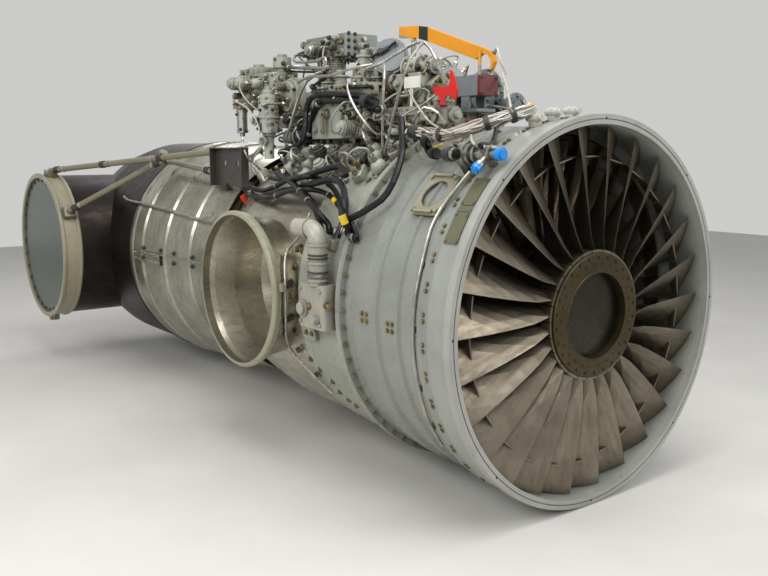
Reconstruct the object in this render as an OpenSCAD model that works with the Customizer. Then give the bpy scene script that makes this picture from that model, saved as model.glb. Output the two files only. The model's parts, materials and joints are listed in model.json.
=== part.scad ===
// Vectored-thrust turbofan, fitted with outlet rings in place of its four swivelling nozzles.
// The origin is the centre of the intake ring's front face. +X points forward, out of the intake,
// +Z is up and -Y is the starboard side. The engine's axis is the X axis.

/* [Intake and fan case] */
// Outer radius of the intake ring
intake_r = 610; // [600:5:640]
// Radial width of the intake ring's face
ring_face = 30; // [26:1:34]
// Length of the intake ring
ring_len = 30; // [24:1:40]
// Number of fixing holes in the intake ring
ring_holes = 8; // [6:1:12]
// Radius of each fixing hole in the intake ring
ring_hole_r = 4; // [3:0.5:5]
// Length of the front band of the fan case
band_len = 76; // [66:1:86]
// Wall of the front band
band_wall = 18; // [12:1:22]
// Length of the fan case behind the front band
case_len = 459; // [450:1:500]
// Outer radius of the fan case at its waist
waist_r = 572; // [570:1:576]
// Wall of the fan case at its waist
case_wall = 16; // [13:1:19]
// Height of the two stiffening ribs above the waist
rib_h = 9; // [6:1:14]
// Thickness of each rib
rib_w = 6; // [4:1:10]
// Height of the bolted flanges above the fan case's waist
flange_h = 15; // [12:1:24]
// Thickness of each bolted flange
flange_t = 12; // [8:1:14]
// Number of bolts round the fan case's rear flange
flange_bolts = 64; // [48:2:72]
// Shank radius of the flange bolts
flange_bolt_r = 4; // [3:0.5:5]

/* [Fan] */
// Number of blades in the first fan stage
fan_blades_n = 26; // [22:1:28]
// Radius of the fan hub at the blade feet
hub_r = 195; // [190:1:198]
// Gap between the blade tips and the case
tip_gap = 4; // [3:0.5:6]
// Chord of a fan blade at its foot
root_chord = 128; // [110:1:132]
// Chord of a fan blade at its tip
tip_chord = 186; // [160:1:190]
// Angle between the foot's chord and the axis
root_stagger = 6; // [2:1:12]
// Angle between the tip's chord and the axis
tip_stagger = 62; // [58:1:64]
// Depth of the blade dovetails in the hub
dovetail_h = 22; // [18:1:26]
// Radius of the ring of mid-span snubbers
snubber_r = 484; // [460:1:500]
// Radius of the recess in the hub's face
hub_recess_r = 134; // [120:1:140]

/* [Low pressure stages] */
// Radius of the flow's inner wall behind the first stage
inner_wall_r = 222; // [220:1:230]
// Radius of the low pressure drum
drum_r = 200; // [190:1:202]
// Number of blades in each of the second and third stages
lp_blades_n = 28; // [24:1:36]
// Number of vanes in each stator
lp_vanes_n = 30; // [26:1:40]
// Outer radius of the low pressure shaft
lp_shaft_r = 50; // [46:1:52]
// Wall of the low pressure shaft
lp_shaft_wall = 10; // [8:1:14]

/* [Intermediate case and plenum] */
// Length of the intermediate case
inter_len = 282; // [276:1:286]
// Outer radius of the intermediate case at its rear edge
inter_rear_r = 558; // [556:1:560]
// Number of struts through the intermediate case
inter_struts = 8; // [6:1:10]
// Outer radius of the plenum
plenum_r = 548; // [546:1:551]
// Length of the plenum
plenum_len = 713; // [709:1:717]
// Wall of the plenum's sheet
plenum_wall = 4; // [3:0.5:6]
// Distance of the front outlets behind the intake face
front_outlet_x = 1132; // [1126:1:1138]
// Distance of the front outlet rings from the engine's axis
front_outlet_y = 650; // [640:1:660]
// Outer radius of the front outlet rings
front_outlet_r = 287; // [284:1:290]
// Radial width of the front outlet rings
front_ring_w = 14; // [12:1:18]
// Depth of the front outlet rings
front_ring_d = 26; // [20:1:32]

/* [High pressure spool] */
// Bore of the high pressure compressor case
core_bore_r = 280; // [275:1:285]
// Wall of the high pressure compressor case
core_wall = 8; // [6:1:10]
// Number of high pressure compressor stages
core_stages = 8; // [7:1:8]
// Outer radius of the high pressure shaft
core_shaft_r = 75; // [74:1:80]
// Number of blades in a high pressure compressor stage
core_blades_n = 24; // [20:1:40]

/* [Hot section] */
// Bore of the combustion and turbine cases
hot_bore_r = 440; // [430:1:450]
// Wall of the combustion and turbine cases
hot_wall = 6; // [5:1:9]
// Number of fuel burners
burners_n = 18; // [14:1:20]
// Number of blades in a turbine stage
turbine_blades_n = 46; // [40:1:60]
// Outer radius of the heat shield at its front end
shield_front_r = 505; // [500:1:510]
// Outer radius of the heat shield at its rear end
shield_rear_r = 540; // [536:1:544]
// Distance of the heat shield's rear edge behind the intake face
shield_end = 2449; // [2445:1:2460]
// Height of the heat shield's ribs
shield_rib_h = 8; // [5:1:12]

/* [Jet pipe] */
// Distance of the rear outlets behind the intake face
rear_outlet_x = 3088; // [3080:1:3096]
// Distance of the rear outlet rings from the engine's axis
rear_outlet_y = 784; // [776:1:792]
// Outer radius of the rear outlet rings
rear_outlet_r = 382; // [380:1:384]
// Depth of the rear outlet rings
rear_ring_d = 95; // [80:1:110]
// Radial width of the rear outlet rings
rear_ring_w = 24; // [20:1:28]
// Wall of the jet pipe
pipe_wall = 5; // [4:0.5:8]
// Number of bolts round each rear blanking plate
blank_bolts_n = 30; // [24:2:36]
// Thickness of the rear blanking plates
blank_t = 8; // [6:1:12]
// Radius of the tubes of the rear struts
strut_r = 14; // [12:1:18]

/* [Accessories] */
// Half width of the accessory gearbox
gearbox_half_w = 215; // [210:1:220]
// Height of the gearbox's top face above the case that it is saddled on
gearbox_h = 84; // [80:1:90]
// Length of the gearbox
gearbox_len = 860; // [855:1:870]
// Thickness of the accessories' mounting flanges
pad_t = 14; // [10:1:18]
// Outer radius of the black hoses
hose_r = 11; // [9:0.5:13]
// Outer radius of the wiring loom
loom_r = 13; // [10:0.5:14]
// Outer radius of the steel pipe along the fan case
case_pipe_r = 6; // [5:0.5:7]
// Travel of the throttle lever to each side
throttle_travel = 35; // [20:1:40]
// Radius of the throttle lever's spindle
spindle_r = 8; // [6:1:10]

/* [Hidden] */
// Running clearance between a spindle or shaft and its bore
run_gap = 0.05;
// Clearance between curved faces that seat on each other
seat_gap = 0.3;
bore_r = intake_r - ring_face;
band_r = intake_r - 10;
x_ring = -ring_len;
x_band = x_ring - band_len;
x_flange = x_band - case_len;
x_inter = x_flange - inter_len;
x_plenum = x_inter - plenum_len;
x_shield = -shield_end;
rear_bore_r = waist_r - case_wall;
flange_r = waist_r + flange_h;
flange_pitch_r = flange_r - 10;
flange_neck_r = flange_r - 21;
case_front_r = band_r - 2;
boss_land = 46;
ring_hole_pitch_r = intake_r - 13;

// Stations of the blade rows, each a front edge and an axial length
blade_x = -16;
x_step = x_band - 49;
x_bore = x_band - 66;
stator_1 = [x_bore - 8, 58];
rotor_2 = [stator_1[0] - stator_1[1] - 12, 66];
stator_2 = [rotor_2[0] - rotor_2[1] - 12, 56];
rotor_3 = [stator_2[0] - stator_2[1] - 12, 60];
outlet_row = [rotor_3[0] - rotor_3[1] - 12, 56];
drum_front = -152;
drum_rear = rotor_3[0] - rotor_3[1];

core_front = x_inter;
core_pitch = 74;
core_row = 32;
core_first = core_front - 26;
core_hub_front = 186;
core_hub_rise = 6;
core_len = core_pitch * core_stages + 60;
x_core_rear = core_front - core_len;
x_comb = x_plenum;
x_turb = x_comb - 430;
turbine_pitch = 90;
turbine_row = 36;
vane_row = 34;
turbine_first = x_turb - 12;
turbine_hub_r = 300;
x_exit = turbine_first - 4 * turbine_pitch - 4;
shield_front = x_comb - 34;
shield_len = shield_end + shield_front;
shield_sheet = 3;
shield_flange_t = 9;
pipe_r = shield_rear_r + 2;
duct_r = rear_outlet_r - 12;
blank_r = rear_outlet_r - rear_ring_w - 1;

case_r = inter_rear_r;
gearbox_front = x_flange - 50;
gearbox_rear = gearbox_front - gearbox_len;

// Turns a shape made along Z so that it lies along the engine's axis, its top forward.
module along_axis() { rotate([0, 90, 0]) children(); }

// Revolves points given as [radius, station] about the engine's axis.
module revolved(points) { along_axis() rotate_extrude($fn = 96) polygon(points); }

// Places a shape at a clock angle, counted from the top towards starboard, with Z pointing outwards.
module clock(angle, r, x) { rotate([angle, 0, 0]) translate([x, 0, r]) children(); }

// Repeats a shape all round the axis.
module all_round(n, r, x, start = 0) {
  for (i = [0:n - 1]) clock(start + i * 360 / n, r, x) children();
}

// Revolves points given as [radius, distance from the axis] about an outlet's own axis, starboard side.
module outlet_turned(x, points) {
  translate([-x, 0, 0]) rotate([90, 0, 0]) rotate_extrude($fn = 96) polygon(points);
}

// A curved plate that spans an angle each side of a clock angle, from station x forward.
module arc_plate(angle, half, r, thick, x, length) {
  along_axis() translate([0, 0, x]) rotate([0, 0, 180 + angle - half])
    rotate_extrude(angle = 2 * half, $fn = 96)
    translate([r, 0]) square([thick, length]);
}

// Mirrors a starboard part to the port side.
module to_port() { mirror([0, 1, 0]) children(); }

// A turned can: steps are [radius, length] from the base upwards.
function step_heights(steps) =
  [for (i = 0, h = 0; i <= len(steps); h = h + (i < len(steps) ? steps[i][1] : 0), i = i + 1) h];
module turned(steps) {
  h = step_heights(steps);
  points = concat([[0, 0]], [for (i = [0:len(steps) - 1]) for (k = [0:1]) [steps[i][0], h[i + k]]],
    [[0, h[len(steps)]]]);
  rotate_extrude($fn = 40) polygon(points);
}

// A block with rounded upright edges, standing on its base.
module rounded_block(size, r) {
  linear_extrude(size[2]) hull_square(size, r);
}
module hull_square(size, r) {
  union() {
    square([size[0] - 2 * r, size[1]], center = true);
    square([size[0], size[1] - 2 * r], center = true);
    for (sx = [-1, 1]) for (sy = [-1, 1])
      translate([sx * (size[0] / 2 - r), sy * (size[1] / 2 - r)]) circle(r, $fn = 24);
  }
}

// A six-sided screw head with its washer face on the plane below it.
module screw_head(r, h) {
  union() {
    cylinder(r = r * 1.15, h = h * 0.3, $fn = 24);
    cylinder(r = r, h = h, $fn = 6);
  }
}

// A plain vane: an aerofoil outline drawn out along Z, its chord turned from the axis by an angle.
function vane_outline(chord, thick) = [
  for (s = [0:6]) let (t = s / 6) [chord * (0.5 - t),
    thick * 2.2 * sin(180 * pow(t, 0.6)) * 0.5 + chord * 0.08 * sin(180 * t)],
  for (s = [5:-1:1]) let (t = s / 6) [chord * (0.5 - t),
    -thick * 0.5 * sin(180 * pow(t, 0.6)) + chord * 0.08 * sin(180 * t)]];
module vane(chord, thick, angle, length) {
  rotate([0, 0, angle]) linear_extrude(length) polygon(vane_outline(chord, thick));
}

// A row of vanes between an inner and an outer ring, made in one piece.
module vane_ring(station, inner, outer, n, angle, ring_t = 4) {
  x0 = station[0];
  len_x = station[1];
  union() {
    revolved([[inner - 10, x0], [inner, x0], [inner, x0 - len_x], [inner - 10, x0 - len_x]]);
    revolved([[outer - ring_t, x0], [outer, x0], [outer, x0 - len_x], [outer - ring_t, x0 - len_x]]);
    all_round(n, inner - 4, x0 - len_x / 2) vane(len_x * 0.82, 4, angle, outer - inner + 2);
  }
}

// A disc with a row of plain blades standing on its rim, made in one piece.
module blade_disc(station, bore, rim, tip, n, angle, web = 18) {
  x0 = station[0];
  len_x = station[1];
  xm = x0 - len_x / 2;
  union() {
    revolved([[rim - 14, x0], [rim, x0], [rim, x0 - len_x], [rim - 14, x0 - len_x],
         [rim - 22, xm - web / 2], [bore, xm - web / 2], [bore, xm + web / 2], [rim - 22, xm + web / 2]]);
    all_round(n, rim - 4, xm) vane(len_x * 0.86, 5, angle, tip - rim + 4);
  }
}

// A row of straight blades cut as one toothed plate.
function toothed(n, inner, outer, thick) = [
  for (i = [0:n - 1]) for (k = [0:3])
    let (r = k == 0 || k == 3 ? inner : outer, half = asin(thick / 2 / r),
      a = i * 360 / n + (k < 2 ? -half : half))
    [r * cos(a), r * sin(a)]];
module toothed_disc(x0, len_x, inner, outer, n, thick) {
  translate([x0 - len_x, 0, 0]) along_axis() linear_extrude(len_x) difference() {
    polygon(toothed(n, inner, outer, thick));
    circle(inner - 8, $fn = 96);
  }
}
// A ring of straight vanes that point inwards from a rim.
module toothed_ring(x0, len_x, inner, outer, n, thick) {
  translate([x0 - len_x, 0, 0]) along_axis() linear_extrude(len_x) difference() {
    circle(outer, $fn = 96);
    polygon(toothed(n, outer - 4, inner, 2 * PI * inner / n - thick));
  }
}

// A tube with a round wall swept along points, each ring square to the path there.
function unit(v) = v / norm(v);
function path_dir(p, i) = unit(p[min(i + 1, len(p) - 1)] - p[max(i - 1, 0)]);
function side_of(d, last) = unit(last - (last * d) * d);
function sides(p, i = 0, last = [0.13, 0.37, 0.92]) =
  i >= len(p) ? [] : let (s = side_of(path_dir(p, i), last)) concat([s], sides(p, i + 1, s));
function curve_point(p, i, t) =
  let (n = len(p) - 1, a = p[max(i - 1, 0)], b = p[i], c = p[min(i + 1, n)], d = p[min(i + 2, n)])
  0.5 * (2 * b + (c - a) * t + (2 * a - 5 * b + 4 * c - d) * t * t + (3 * b - a - 3 * c + d) * t * t * t);
function smooth(p, steps) =
  concat([for (i = [0:len(p) - 2]) for (s = [0:steps - 1]) curve_point(p, i, s / steps)], [p[len(p) - 1]]);
module swept(route, r, steps = 3, n = 8) {
  p = smooth(route, steps);
  s = sides(p);
  m = len(p);
  points = [for (i = [0:m - 1]) let (d = path_dir(p, i), u = s[i], v = cross(d, u))
       for (k = [0:n - 1]) p[i] + r * (cos(k * 360 / n) * u + sin(k * 360 / n) * v)];
  skin = [for (i = [0:m - 2]) for (k = [0:n - 1])
      [i * n + k, (i + 1) * n + k, (i + 1) * n + (k + 1) % n, i * n + (k + 1) % n]];
  caps = [[for (k = [0:n - 1]) k], [for (k = [n - 1:-1:0]) (m - 1) * n + k]];
  polyhedron(points, concat(skin, caps));
}

// Intake ring: the front flange that the airframe's duct meets, with a groove turned in its face.
module intake_ring() {
  color([0.6, 0.6, 0.56]) difference() {
    revolved([[bore_r, 0], [bore_r + 13, 0], [bore_r + 13, -3], [bore_r + 16, -3], [bore_r + 16, 0],
         [intake_r, 0], [intake_r, x_ring + 4], [intake_r - 4, x_ring], [bore_r, x_ring]]);
    for (i = [0:ring_holes - 1]) clock(i * 360 / ring_holes, ring_hole_pitch_r, 0)
      translate([1 - ring_len - 2, 0, 0]) along_axis() cylinder(r = ring_hole_r, h = ring_len + 2, $fn = 24);
  }
}

// Front band of the fan case, painted paler than the case behind it.
module front_case() {
  color([0.62, 0.66, 0.58]) revolved([
    [bore_r, x_ring], [intake_r - 6, x_ring], [intake_r - 6, x_ring - 8], [band_r, x_ring - 12],
    [band_r, x_band], [bore_r, x_band]]);
}

// Fan case: a turned casing with a land for the screws, a waist, two ribs and a bolted rear flange.
rib_front = x_band - 162;
rib_rear = x_band - 266;
module fan_case() {
  color([0.58, 0.61, 0.59]) difference() {
    revolved([
      [case_front_r, x_band], [case_front_r, x_band - boss_land], [waist_r, x_band - boss_land - 18],
      [waist_r, rib_front + rib_w / 2 + 6], [waist_r + rib_h, rib_front + rib_w / 2],
      [waist_r + rib_h, rib_front - rib_w / 2], [waist_r, rib_front - rib_w / 2 - 6],
      [waist_r, rib_rear + rib_w / 2 + 6], [waist_r + rib_h, rib_rear + rib_w / 2],
      [waist_r + rib_h, rib_rear - rib_w / 2], [waist_r, rib_rear - rib_w / 2 - 6],
      [waist_r + 4, rib_rear - 60], [flange_neck_r, x_flange + flange_t + 30],
      [flange_neck_r, x_flange + flange_t], [flange_r, x_flange + flange_t], [flange_r, x_flange],
      [rear_bore_r, x_flange], [rear_bore_r, x_bore], [bore_r, x_step], [bore_r, x_band]]);
    all_round(flange_bolts, flange_pitch_r, x_flange + flange_t / 2)
      along_axis() cylinder(r = flange_bolt_r + seat_gap, h = flange_t + 4, center = true, $fn = 16);
  }
}

// Pairs of screws on the land behind the front band.
module case_screws() {
  pairs = 44;
  pitch = 19;
  color([0.55, 0.5, 0.4]) {
    for (i = [0:pairs - 1]) for (s = [-1, 1])
      clock((i + 0.5) * 360 / pairs + s * asin(pitch / 2 / case_front_r), case_front_r, x_band - 20)
        screw_head(6, 6);
    case_studs();
  }
}

// Bolts and nuts that join the fan case to the intermediate case.
module flange_bolts() {
  head_r = 7;
  head_h = 8;
  color([0.3, 0.28, 0.26]) all_round(flange_bolts, flange_pitch_r, x_flange - flange_t - head_h)
    along_axis() turned([[head_r, head_h], [flange_bolt_r, 2 * flange_t], [head_r, head_h]]);
}

// Outline of a dovetail foot, wider at its base, centred on the blade's own radius.
dovetail_top = 13;
dovetail_base = 22;
function dovetail(grow) = [
  [-dovetail_top / 2 - grow, 0.5], [-dovetail_top / 2 - grow, -dovetail_h * 0.35],
  [-dovetail_base / 2 - grow, -dovetail_h * 0.7], [-dovetail_base / 2 - grow, -dovetail_h - grow],
  [dovetail_base / 2 + grow, -dovetail_h - grow], [dovetail_base / 2 + grow, -dovetail_h * 0.7],
  [dovetail_top / 2 + grow, -dovetail_h * 0.35], [dovetail_top / 2 + grow, 0.5]];
module foot_prism(grow, x0, len_x, lift) {
  translate([x0 - len_x, 0, lift]) rotate([90, 0, 90]) linear_extrude(len_x) polygon(dovetail(grow));
}

// Fan hub: a hollow disc with a dovetail slot for each blade and a recess in its face.
hub_front = -14;
hub_bore_r = 70;
module fan_hub() {
  color([0.28, 0.24, 0.2]) difference() {
    revolved([
      [hub_recess_r, hub_front], [hub_r, hub_front], [hub_r, drum_front], [hub_r - 26, drum_front],
      [hub_r - 40, drum_front + 20], [hub_r - 40, hub_front - 44], [hub_recess_r - 30, hub_front - 44],
      [lp_shaft_r + 30, drum_front + 30], [lp_shaft_r + 30, drum_front],
      [lp_shaft_r, drum_front], [lp_shaft_r, hub_front - 26], [hub_recess_r, hub_front - 26]]);
    all_round(fan_blades_n, hub_r, 0) foot_prism(0.2, hub_front + 1, -drum_front + hub_front + 2, 0);
  }
}

// Fan blade: a twisted aerofoil loft from the platform to the tip, each section laid on its own cylinder.
blade_sections = 7;
blade_points = 5;
platform_h = 8;
blade_tip_r = bore_r - tip_gap;
blade_mid_x = hub_front - 4 - root_chord / 2;
function blend(a, b, t) = a + (b - a) * t;
function blade_r(s) = blend(hub_r + 4, blade_tip_r, s / (blade_sections - 1));
function blade_stagger(s) = blend(root_stagger, tip_stagger, pow(s / (blade_sections - 1), 0.62));
function blade_chord(s) = blend(root_chord, tip_chord, s / (blade_sections - 1));
function blade_thick(s) = blend(13, 4, s / (blade_sections - 1));
function blade_camber(s) = blend(0.2, 0.03, s / (blade_sections - 1));
// One point of a section: t runs from the leading to the trailing edge, side is +1, 0 or -1.
function blade_point(s, t, side) =
  let (c = blade_chord(s), a = blade_stagger(s), r = blade_r(s),
    along = c * (0.5 - t),
    across = -c * blade_camber(s) * sin(180 * t) * 0.55 + side * blade_thick(s) / 2 * sin(180 * pow(t, 0.7)),
    x = along * cos(a) + across * sin(a) * -1,
    y = -along * sin(a) - across * cos(a) * 1)
  [x + blade_mid_x, r * sin(y / r * 180 / PI), r * cos(y / r * 180 / PI)];
module blade_skin() {
  m = 2 * blade_points;
  points = [for (s = [0:blade_sections - 1]) each concat(
    [for (k = [0:blade_points]) blade_point(s, k / blade_points, k == 0 || k == blade_points ? 0 : 1)],
    [for (k = [blade_points - 1:-1:1]) blade_point(s, k / blade_points, -1)])];
  skin = [for (s = [0:blade_sections - 2]) for (k = [0:m - 1])
      let (a = s * m + k, b = s * m + (k + 1) % m) each [[a, b, a + m], [b, b + m, a + m]]];
  caps = [for (s = [0, blade_sections - 1]) for (k = [1:blade_points - 1])
      let (o = s * m, a = o + k, b = o + k + 1, c = o + (m - k - 1) % m, d = o + m - k)
      each (s == 0 ? [[a, d, b], [b, d, c + (k == blade_points - 1 ? 0 : 0)]] : [[a, b, d], [b, c, d]])];
  ends = [for (s = [0, blade_sections - 1]) let (o = s * m)
      s == 0 ? [o, o + m - 1, o + 1] : [o, o + 1, o + m - 1]];
  polyhedron(points, concat(skin, [for (f = caps) if (f[0] != f[1] && f[1] != f[2] && f[0] != f[2]) f],
    ends));
}

// Mid-span snubber: a thin shelf that reaches half way to the next blade on each side.
module snubber() {
  shelf = [26, PI * snubber_r * 2 / fan_blades_n - 6, 5];
  at = blade_point(round((snubber_r - hub_r) / (blade_tip_r - hub_r) * (blade_sections - 1)), 0.4, 0);
  rotate([-atan2(at[1], at[2]), 0, 0]) translate([at[0], 0, snubber_r]) cube(shelf, center = true);
}
module fan_blade() {
  platform = 0.47 * 360 / fan_blades_n;
  union() {
    foot_prism(0, hub_front - 0.5, -drum_front + hub_front - 1, hub_r);
    arc_plate(0, platform, hub_r + 0.2, platform_h, drum_front + 0.5, -drum_front + hub_front - 1);
    blade_skin();
    snubber();
  }
}
module fan_blades() {
  color([0.5, 0.47, 0.44]) for (i = [0:fan_blades_n - 1]) rotate([i * 360 / fan_blades_n, 0, 0]) fan_blade();
}

// Lock ring that holds the dovetails in the hub, with a screw at each blade.
module blade_lock_ring() {
  ring_t = 8;
  color([0.3, 0.24, 0.18]) union() {
    revolved([[hub_recess_r, hub_front], [hub_r - 1, hub_front], [hub_r - 1, hub_front + ring_t - 3],
         [hub_r - 4, hub_front + ring_t], [hub_recess_r + 3, hub_front + ring_t],
         [hub_recess_r, hub_front + ring_t + 3]]);
    all_round(fan_blades_n, hub_r - 14, hub_front + ring_t - 1) along_axis() cylinder(r = 5, h = 4, $fn = 6);
    all_round(fan_blades_n, hub_r - 34, hub_front + ring_t - 1, 180 / fan_blades_n)
      along_axis() cylinder(r = 4, h = 3, $fn = 6);
  }
}

// Flat cover in the hub's recess, with the small curved balance weight on it.
module hub_cover() {
  color([0.2, 0.2, 0.2]) union() {
    translate([hub_front - 26, 0, 0]) along_axis() cylinder(r = hub_recess_r - 0.5, h = 8, $fn = 72);
    arc_plate(75, 23, 100, 14, hub_front - 19, 6);
    for (a = [52, 75, 98]) clock(a, 107, hub_front - 14) along_axis() cylinder(r = 4, h = 5, $fn = 6);
  }
}

// Second and third fan stages on one drum behind the hub.
module lp_rotor() {
  color([0.45, 0.44, 0.42]) union() {
    revolved([[drum_r - 12, drum_front], [drum_r, drum_front - 1], [drum_r, drum_rear],
      [lp_shaft_r + 30, drum_rear],
         [lp_shaft_r + 30, drum_rear + 16], [drum_r - 12, drum_rear + 16]]);
    blade_disc(rotor_2, drum_r - 6, inner_wall_r, rear_bore_r - tip_gap, lp_blades_n, 40);
    blade_disc(rotor_3, drum_r - 6, inner_wall_r, rear_bore_r - tip_gap, lp_blades_n, 40);
  }
}
module lp_stators() {
  color([0.5, 0.48, 0.45]) {
    vane_ring(stator_1, inner_wall_r, rear_bore_r - seat_gap, lp_vanes_n, -25);
    vane_ring(stator_2, inner_wall_r, rear_bore_r - seat_gap, lp_vanes_n, -25);
    vane_ring(outlet_row, inner_wall_r, rear_bore_r - seat_gap, lp_vanes_n, -12);
  }
}

// Intermediate case: the main casting, with struts to the hub that holds the front bearings.
bearing_r = 96;
bearing_w = 34;
x_lp_bearing = x_flange - 40;
x_core_bearing = x_inter + 30;
core_bearing_r = core_shaft_r + 32;
module intermediate_case() {
  strut_front = x_flange - 70;
  strut_len = 120;
  color([0.6, 0.64, 0.56]) difference() {
    union() {
      revolved([[rear_bore_r, x_flange], [flange_r, x_flange], [flange_r, x_flange - flange_t],
           [flange_neck_r, x_flange - flange_t], [inter_rear_r + 4, x_inter + 60],
             [inter_rear_r, x_inter + 40],
           [inter_rear_r, x_inter], [plenum_r - plenum_wall - 2, x_inter],
             [plenum_r - plenum_wall - 2, x_inter + 40],
           [rear_bore_r - 4, x_flange - 60]]);
      revolved([[inner_wall_r - 12, outlet_row[0] - outlet_row[1]],
        [inner_wall_r, outlet_row[0] - outlet_row[1]],
           [inner_wall_r, x_flange - 60], [core_hub_front, x_inter], [core_hub_front - 10, x_inter],
           [core_hub_front - 10, x_inter + 10], [inner_wall_r - 12, x_flange - 60]]);
      revolved([[bearing_r, x_lp_bearing + bearing_w / 2 + 8],
        [bearing_r + 14, x_lp_bearing + bearing_w / 2 + 8],
           [inner_wall_r - 6, x_flange - 50], [inner_wall_r - 6, x_flange - 64],
           [bearing_r + 14, x_lp_bearing - bearing_w / 2 - 8],
             [bearing_r, x_lp_bearing - bearing_w / 2 - 8]]);
      revolved([[core_bearing_r, x_core_bearing + 24], [core_bearing_r + 12, x_core_bearing + 24],
           [core_hub_front + 6, x_core_bearing + 12], [core_hub_front - 4, x_core_bearing - 4],
           [core_bearing_r + 12, x_core_bearing - 18], [core_bearing_r, x_core_bearing - 18]]);
      all_round(inter_struts, inner_wall_r - 6, strut_front - strut_len / 2, 22.5)
        vane(strut_len, 18, 0, rear_bore_r - inner_wall_r + 8);
    }
    all_round(flange_bolts, flange_pitch_r, x_flange - flange_t / 2)
      along_axis() cylinder(r = flange_bolt_r + seat_gap, h = flange_t + 4, center = true, $fn = 16);
  }
}

// Rolling bearings, each drawn as an outer race with a turned groove and the rollers' track.
module bearing(x, bore, outer, w) {
  revolved([[bore, x + w / 2], [bore + 5, x + w / 2 + 1], [bore + 9, x + w / 2 - 4],
    [outer - 9, x + w / 2 - 4],
       [outer - 5, x + w / 2], [outer, x + w / 2], [outer, x - w / 2], [outer - 5, x - w / 2],
       [outer - 9, x - w / 2 + 4], [bore + 9, x - w / 2 + 4], [bore + 5, x - w / 2 - 1], [bore, x - w / 2]]);
}
module bearings() {
  color([0.7, 0.7, 0.7]) {
    bearing(x_lp_bearing, lp_shaft_r + run_gap, bearing_r - 0.1, bearing_w);
    bearing(x_core_bearing, core_shaft_r + run_gap, core_bearing_r - 0.1, 30);
    bearing(x_exit - 34, lp_shaft_r + run_gap, bearing_r - 0.1, bearing_w);
  }
}

// Low pressure shaft, from the fan hub to the low pressure turbine.
x_shaft_rear = x_exit - 60;
module lp_shaft() {
  color([0.6, 0.6, 0.6]) revolved([
    [lp_shaft_r - lp_shaft_wall, drum_front + 10], [lp_shaft_r - 0.1, drum_front + 10],
      [lp_shaft_r - 0.1, drum_front - 0.2],
    [lp_shaft_r + 29.9, drum_front - 0.2], [lp_shaft_r + 29.9, drum_rear], [lp_shaft_r, drum_rear - 14],
    [lp_shaft_r, x_shaft_rear], [lp_shaft_r - lp_shaft_wall, x_shaft_rear]]);
}

// Low pressure turbine: two toothed discs on a short cone.
function turbine_x(i) = turbine_first - i * turbine_pitch - vane_row - 10;
module turbine_stage(i, web_bore) {
  xm = turbine_x(i) - turbine_row / 2;
  union() {
    revolved([[turbine_hub_r - 20, xm + turbine_row / 2], [turbine_hub_r, xm + turbine_row / 2],
         [turbine_hub_r, xm - turbine_row / 2], [turbine_hub_r - 20, xm - turbine_row / 2],
         [web_bore + 60, xm - 8], [web_bore, xm - 22], [web_bore, xm + 22], [web_bore + 60, xm + 8]]);
    toothed_disc(turbine_x(i), turbine_row, turbine_hub_r - 8, hot_bore_r - tip_gap, turbine_blades_n, 5);
  }
}
module lp_turbine() {
  color([0.4, 0.36, 0.33]) for (i = [2:3]) turbine_stage(i, lp_shaft_r + 0.1);
}

// High pressure spool: eight compressor stages, the hollow shaft and two turbine discs.
function core_row_x(i) = core_first - i * core_pitch;
function core_hub(i) = core_hub_front + i * core_hub_rise;
module core_rotor() {
  hub_end = core_hub(core_stages);
  x_end = core_row_x(core_stages);
  x_tail = turbine_x(1) - turbine_row / 2 - 30;
  color([0.5, 0.47, 0.45]) union() {
    revolved([
      [lp_shaft_r + 14, x_core_bearing + 20], [core_shaft_r, x_core_bearing + 20],
        [core_shaft_r, x_core_bearing - 24],
      [core_shaft_r + 8, x_core_bearing - 26], [core_hub_front - 2, core_first + 8], [hub_end, x_end + 30],
      [core_shaft_r + 40, x_end - 40], [core_shaft_r + 10, x_end - 140], [core_shaft_r + 10, x_tail],
      [lp_shaft_r + 14, x_tail], [lp_shaft_r + 14, x_end - 120], [core_shaft_r + 22, x_end - 36],
      [hub_end - 22, x_end + 46], [core_hub_front - 20, core_first - 12],
        [core_shaft_r - 5, x_core_bearing - 50],
      [lp_shaft_r + 14, x_core_bearing - 40]]);
    for (i = [0:core_stages - 1])
      toothed_disc(core_row_x(i), core_row, core_hub(i) - 12, core_bore_r - 3, core_blades_n, 4);
    for (i = [0:1]) turbine_stage(i, core_shaft_r);
  }
}

// High pressure compressor case with its bolted end flanges.
module core_case() {
  color([0.55, 0.5, 0.42]) revolved([
    [core_bore_r, core_front], [core_bore_r + 40, core_front], [core_bore_r + 40, core_front - 10],
    [core_bore_r + core_wall, core_front - 16], [core_bore_r + core_wall, x_core_rear + 20],
    [core_bore_r + 26, x_core_rear + 10], [core_bore_r + 26, x_core_rear], [core_bore_r, x_core_rear]]);
}
module core_stators() {
  color([0.5, 0.46, 0.4]) for (i = [0:core_stages - 1])
    toothed_ring(core_row_x(i) - core_row - 6, core_pitch - core_row - 12, core_hub(i + 1) + 6,
      core_bore_r - 0.2, core_blades_n, 5);
}

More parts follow.
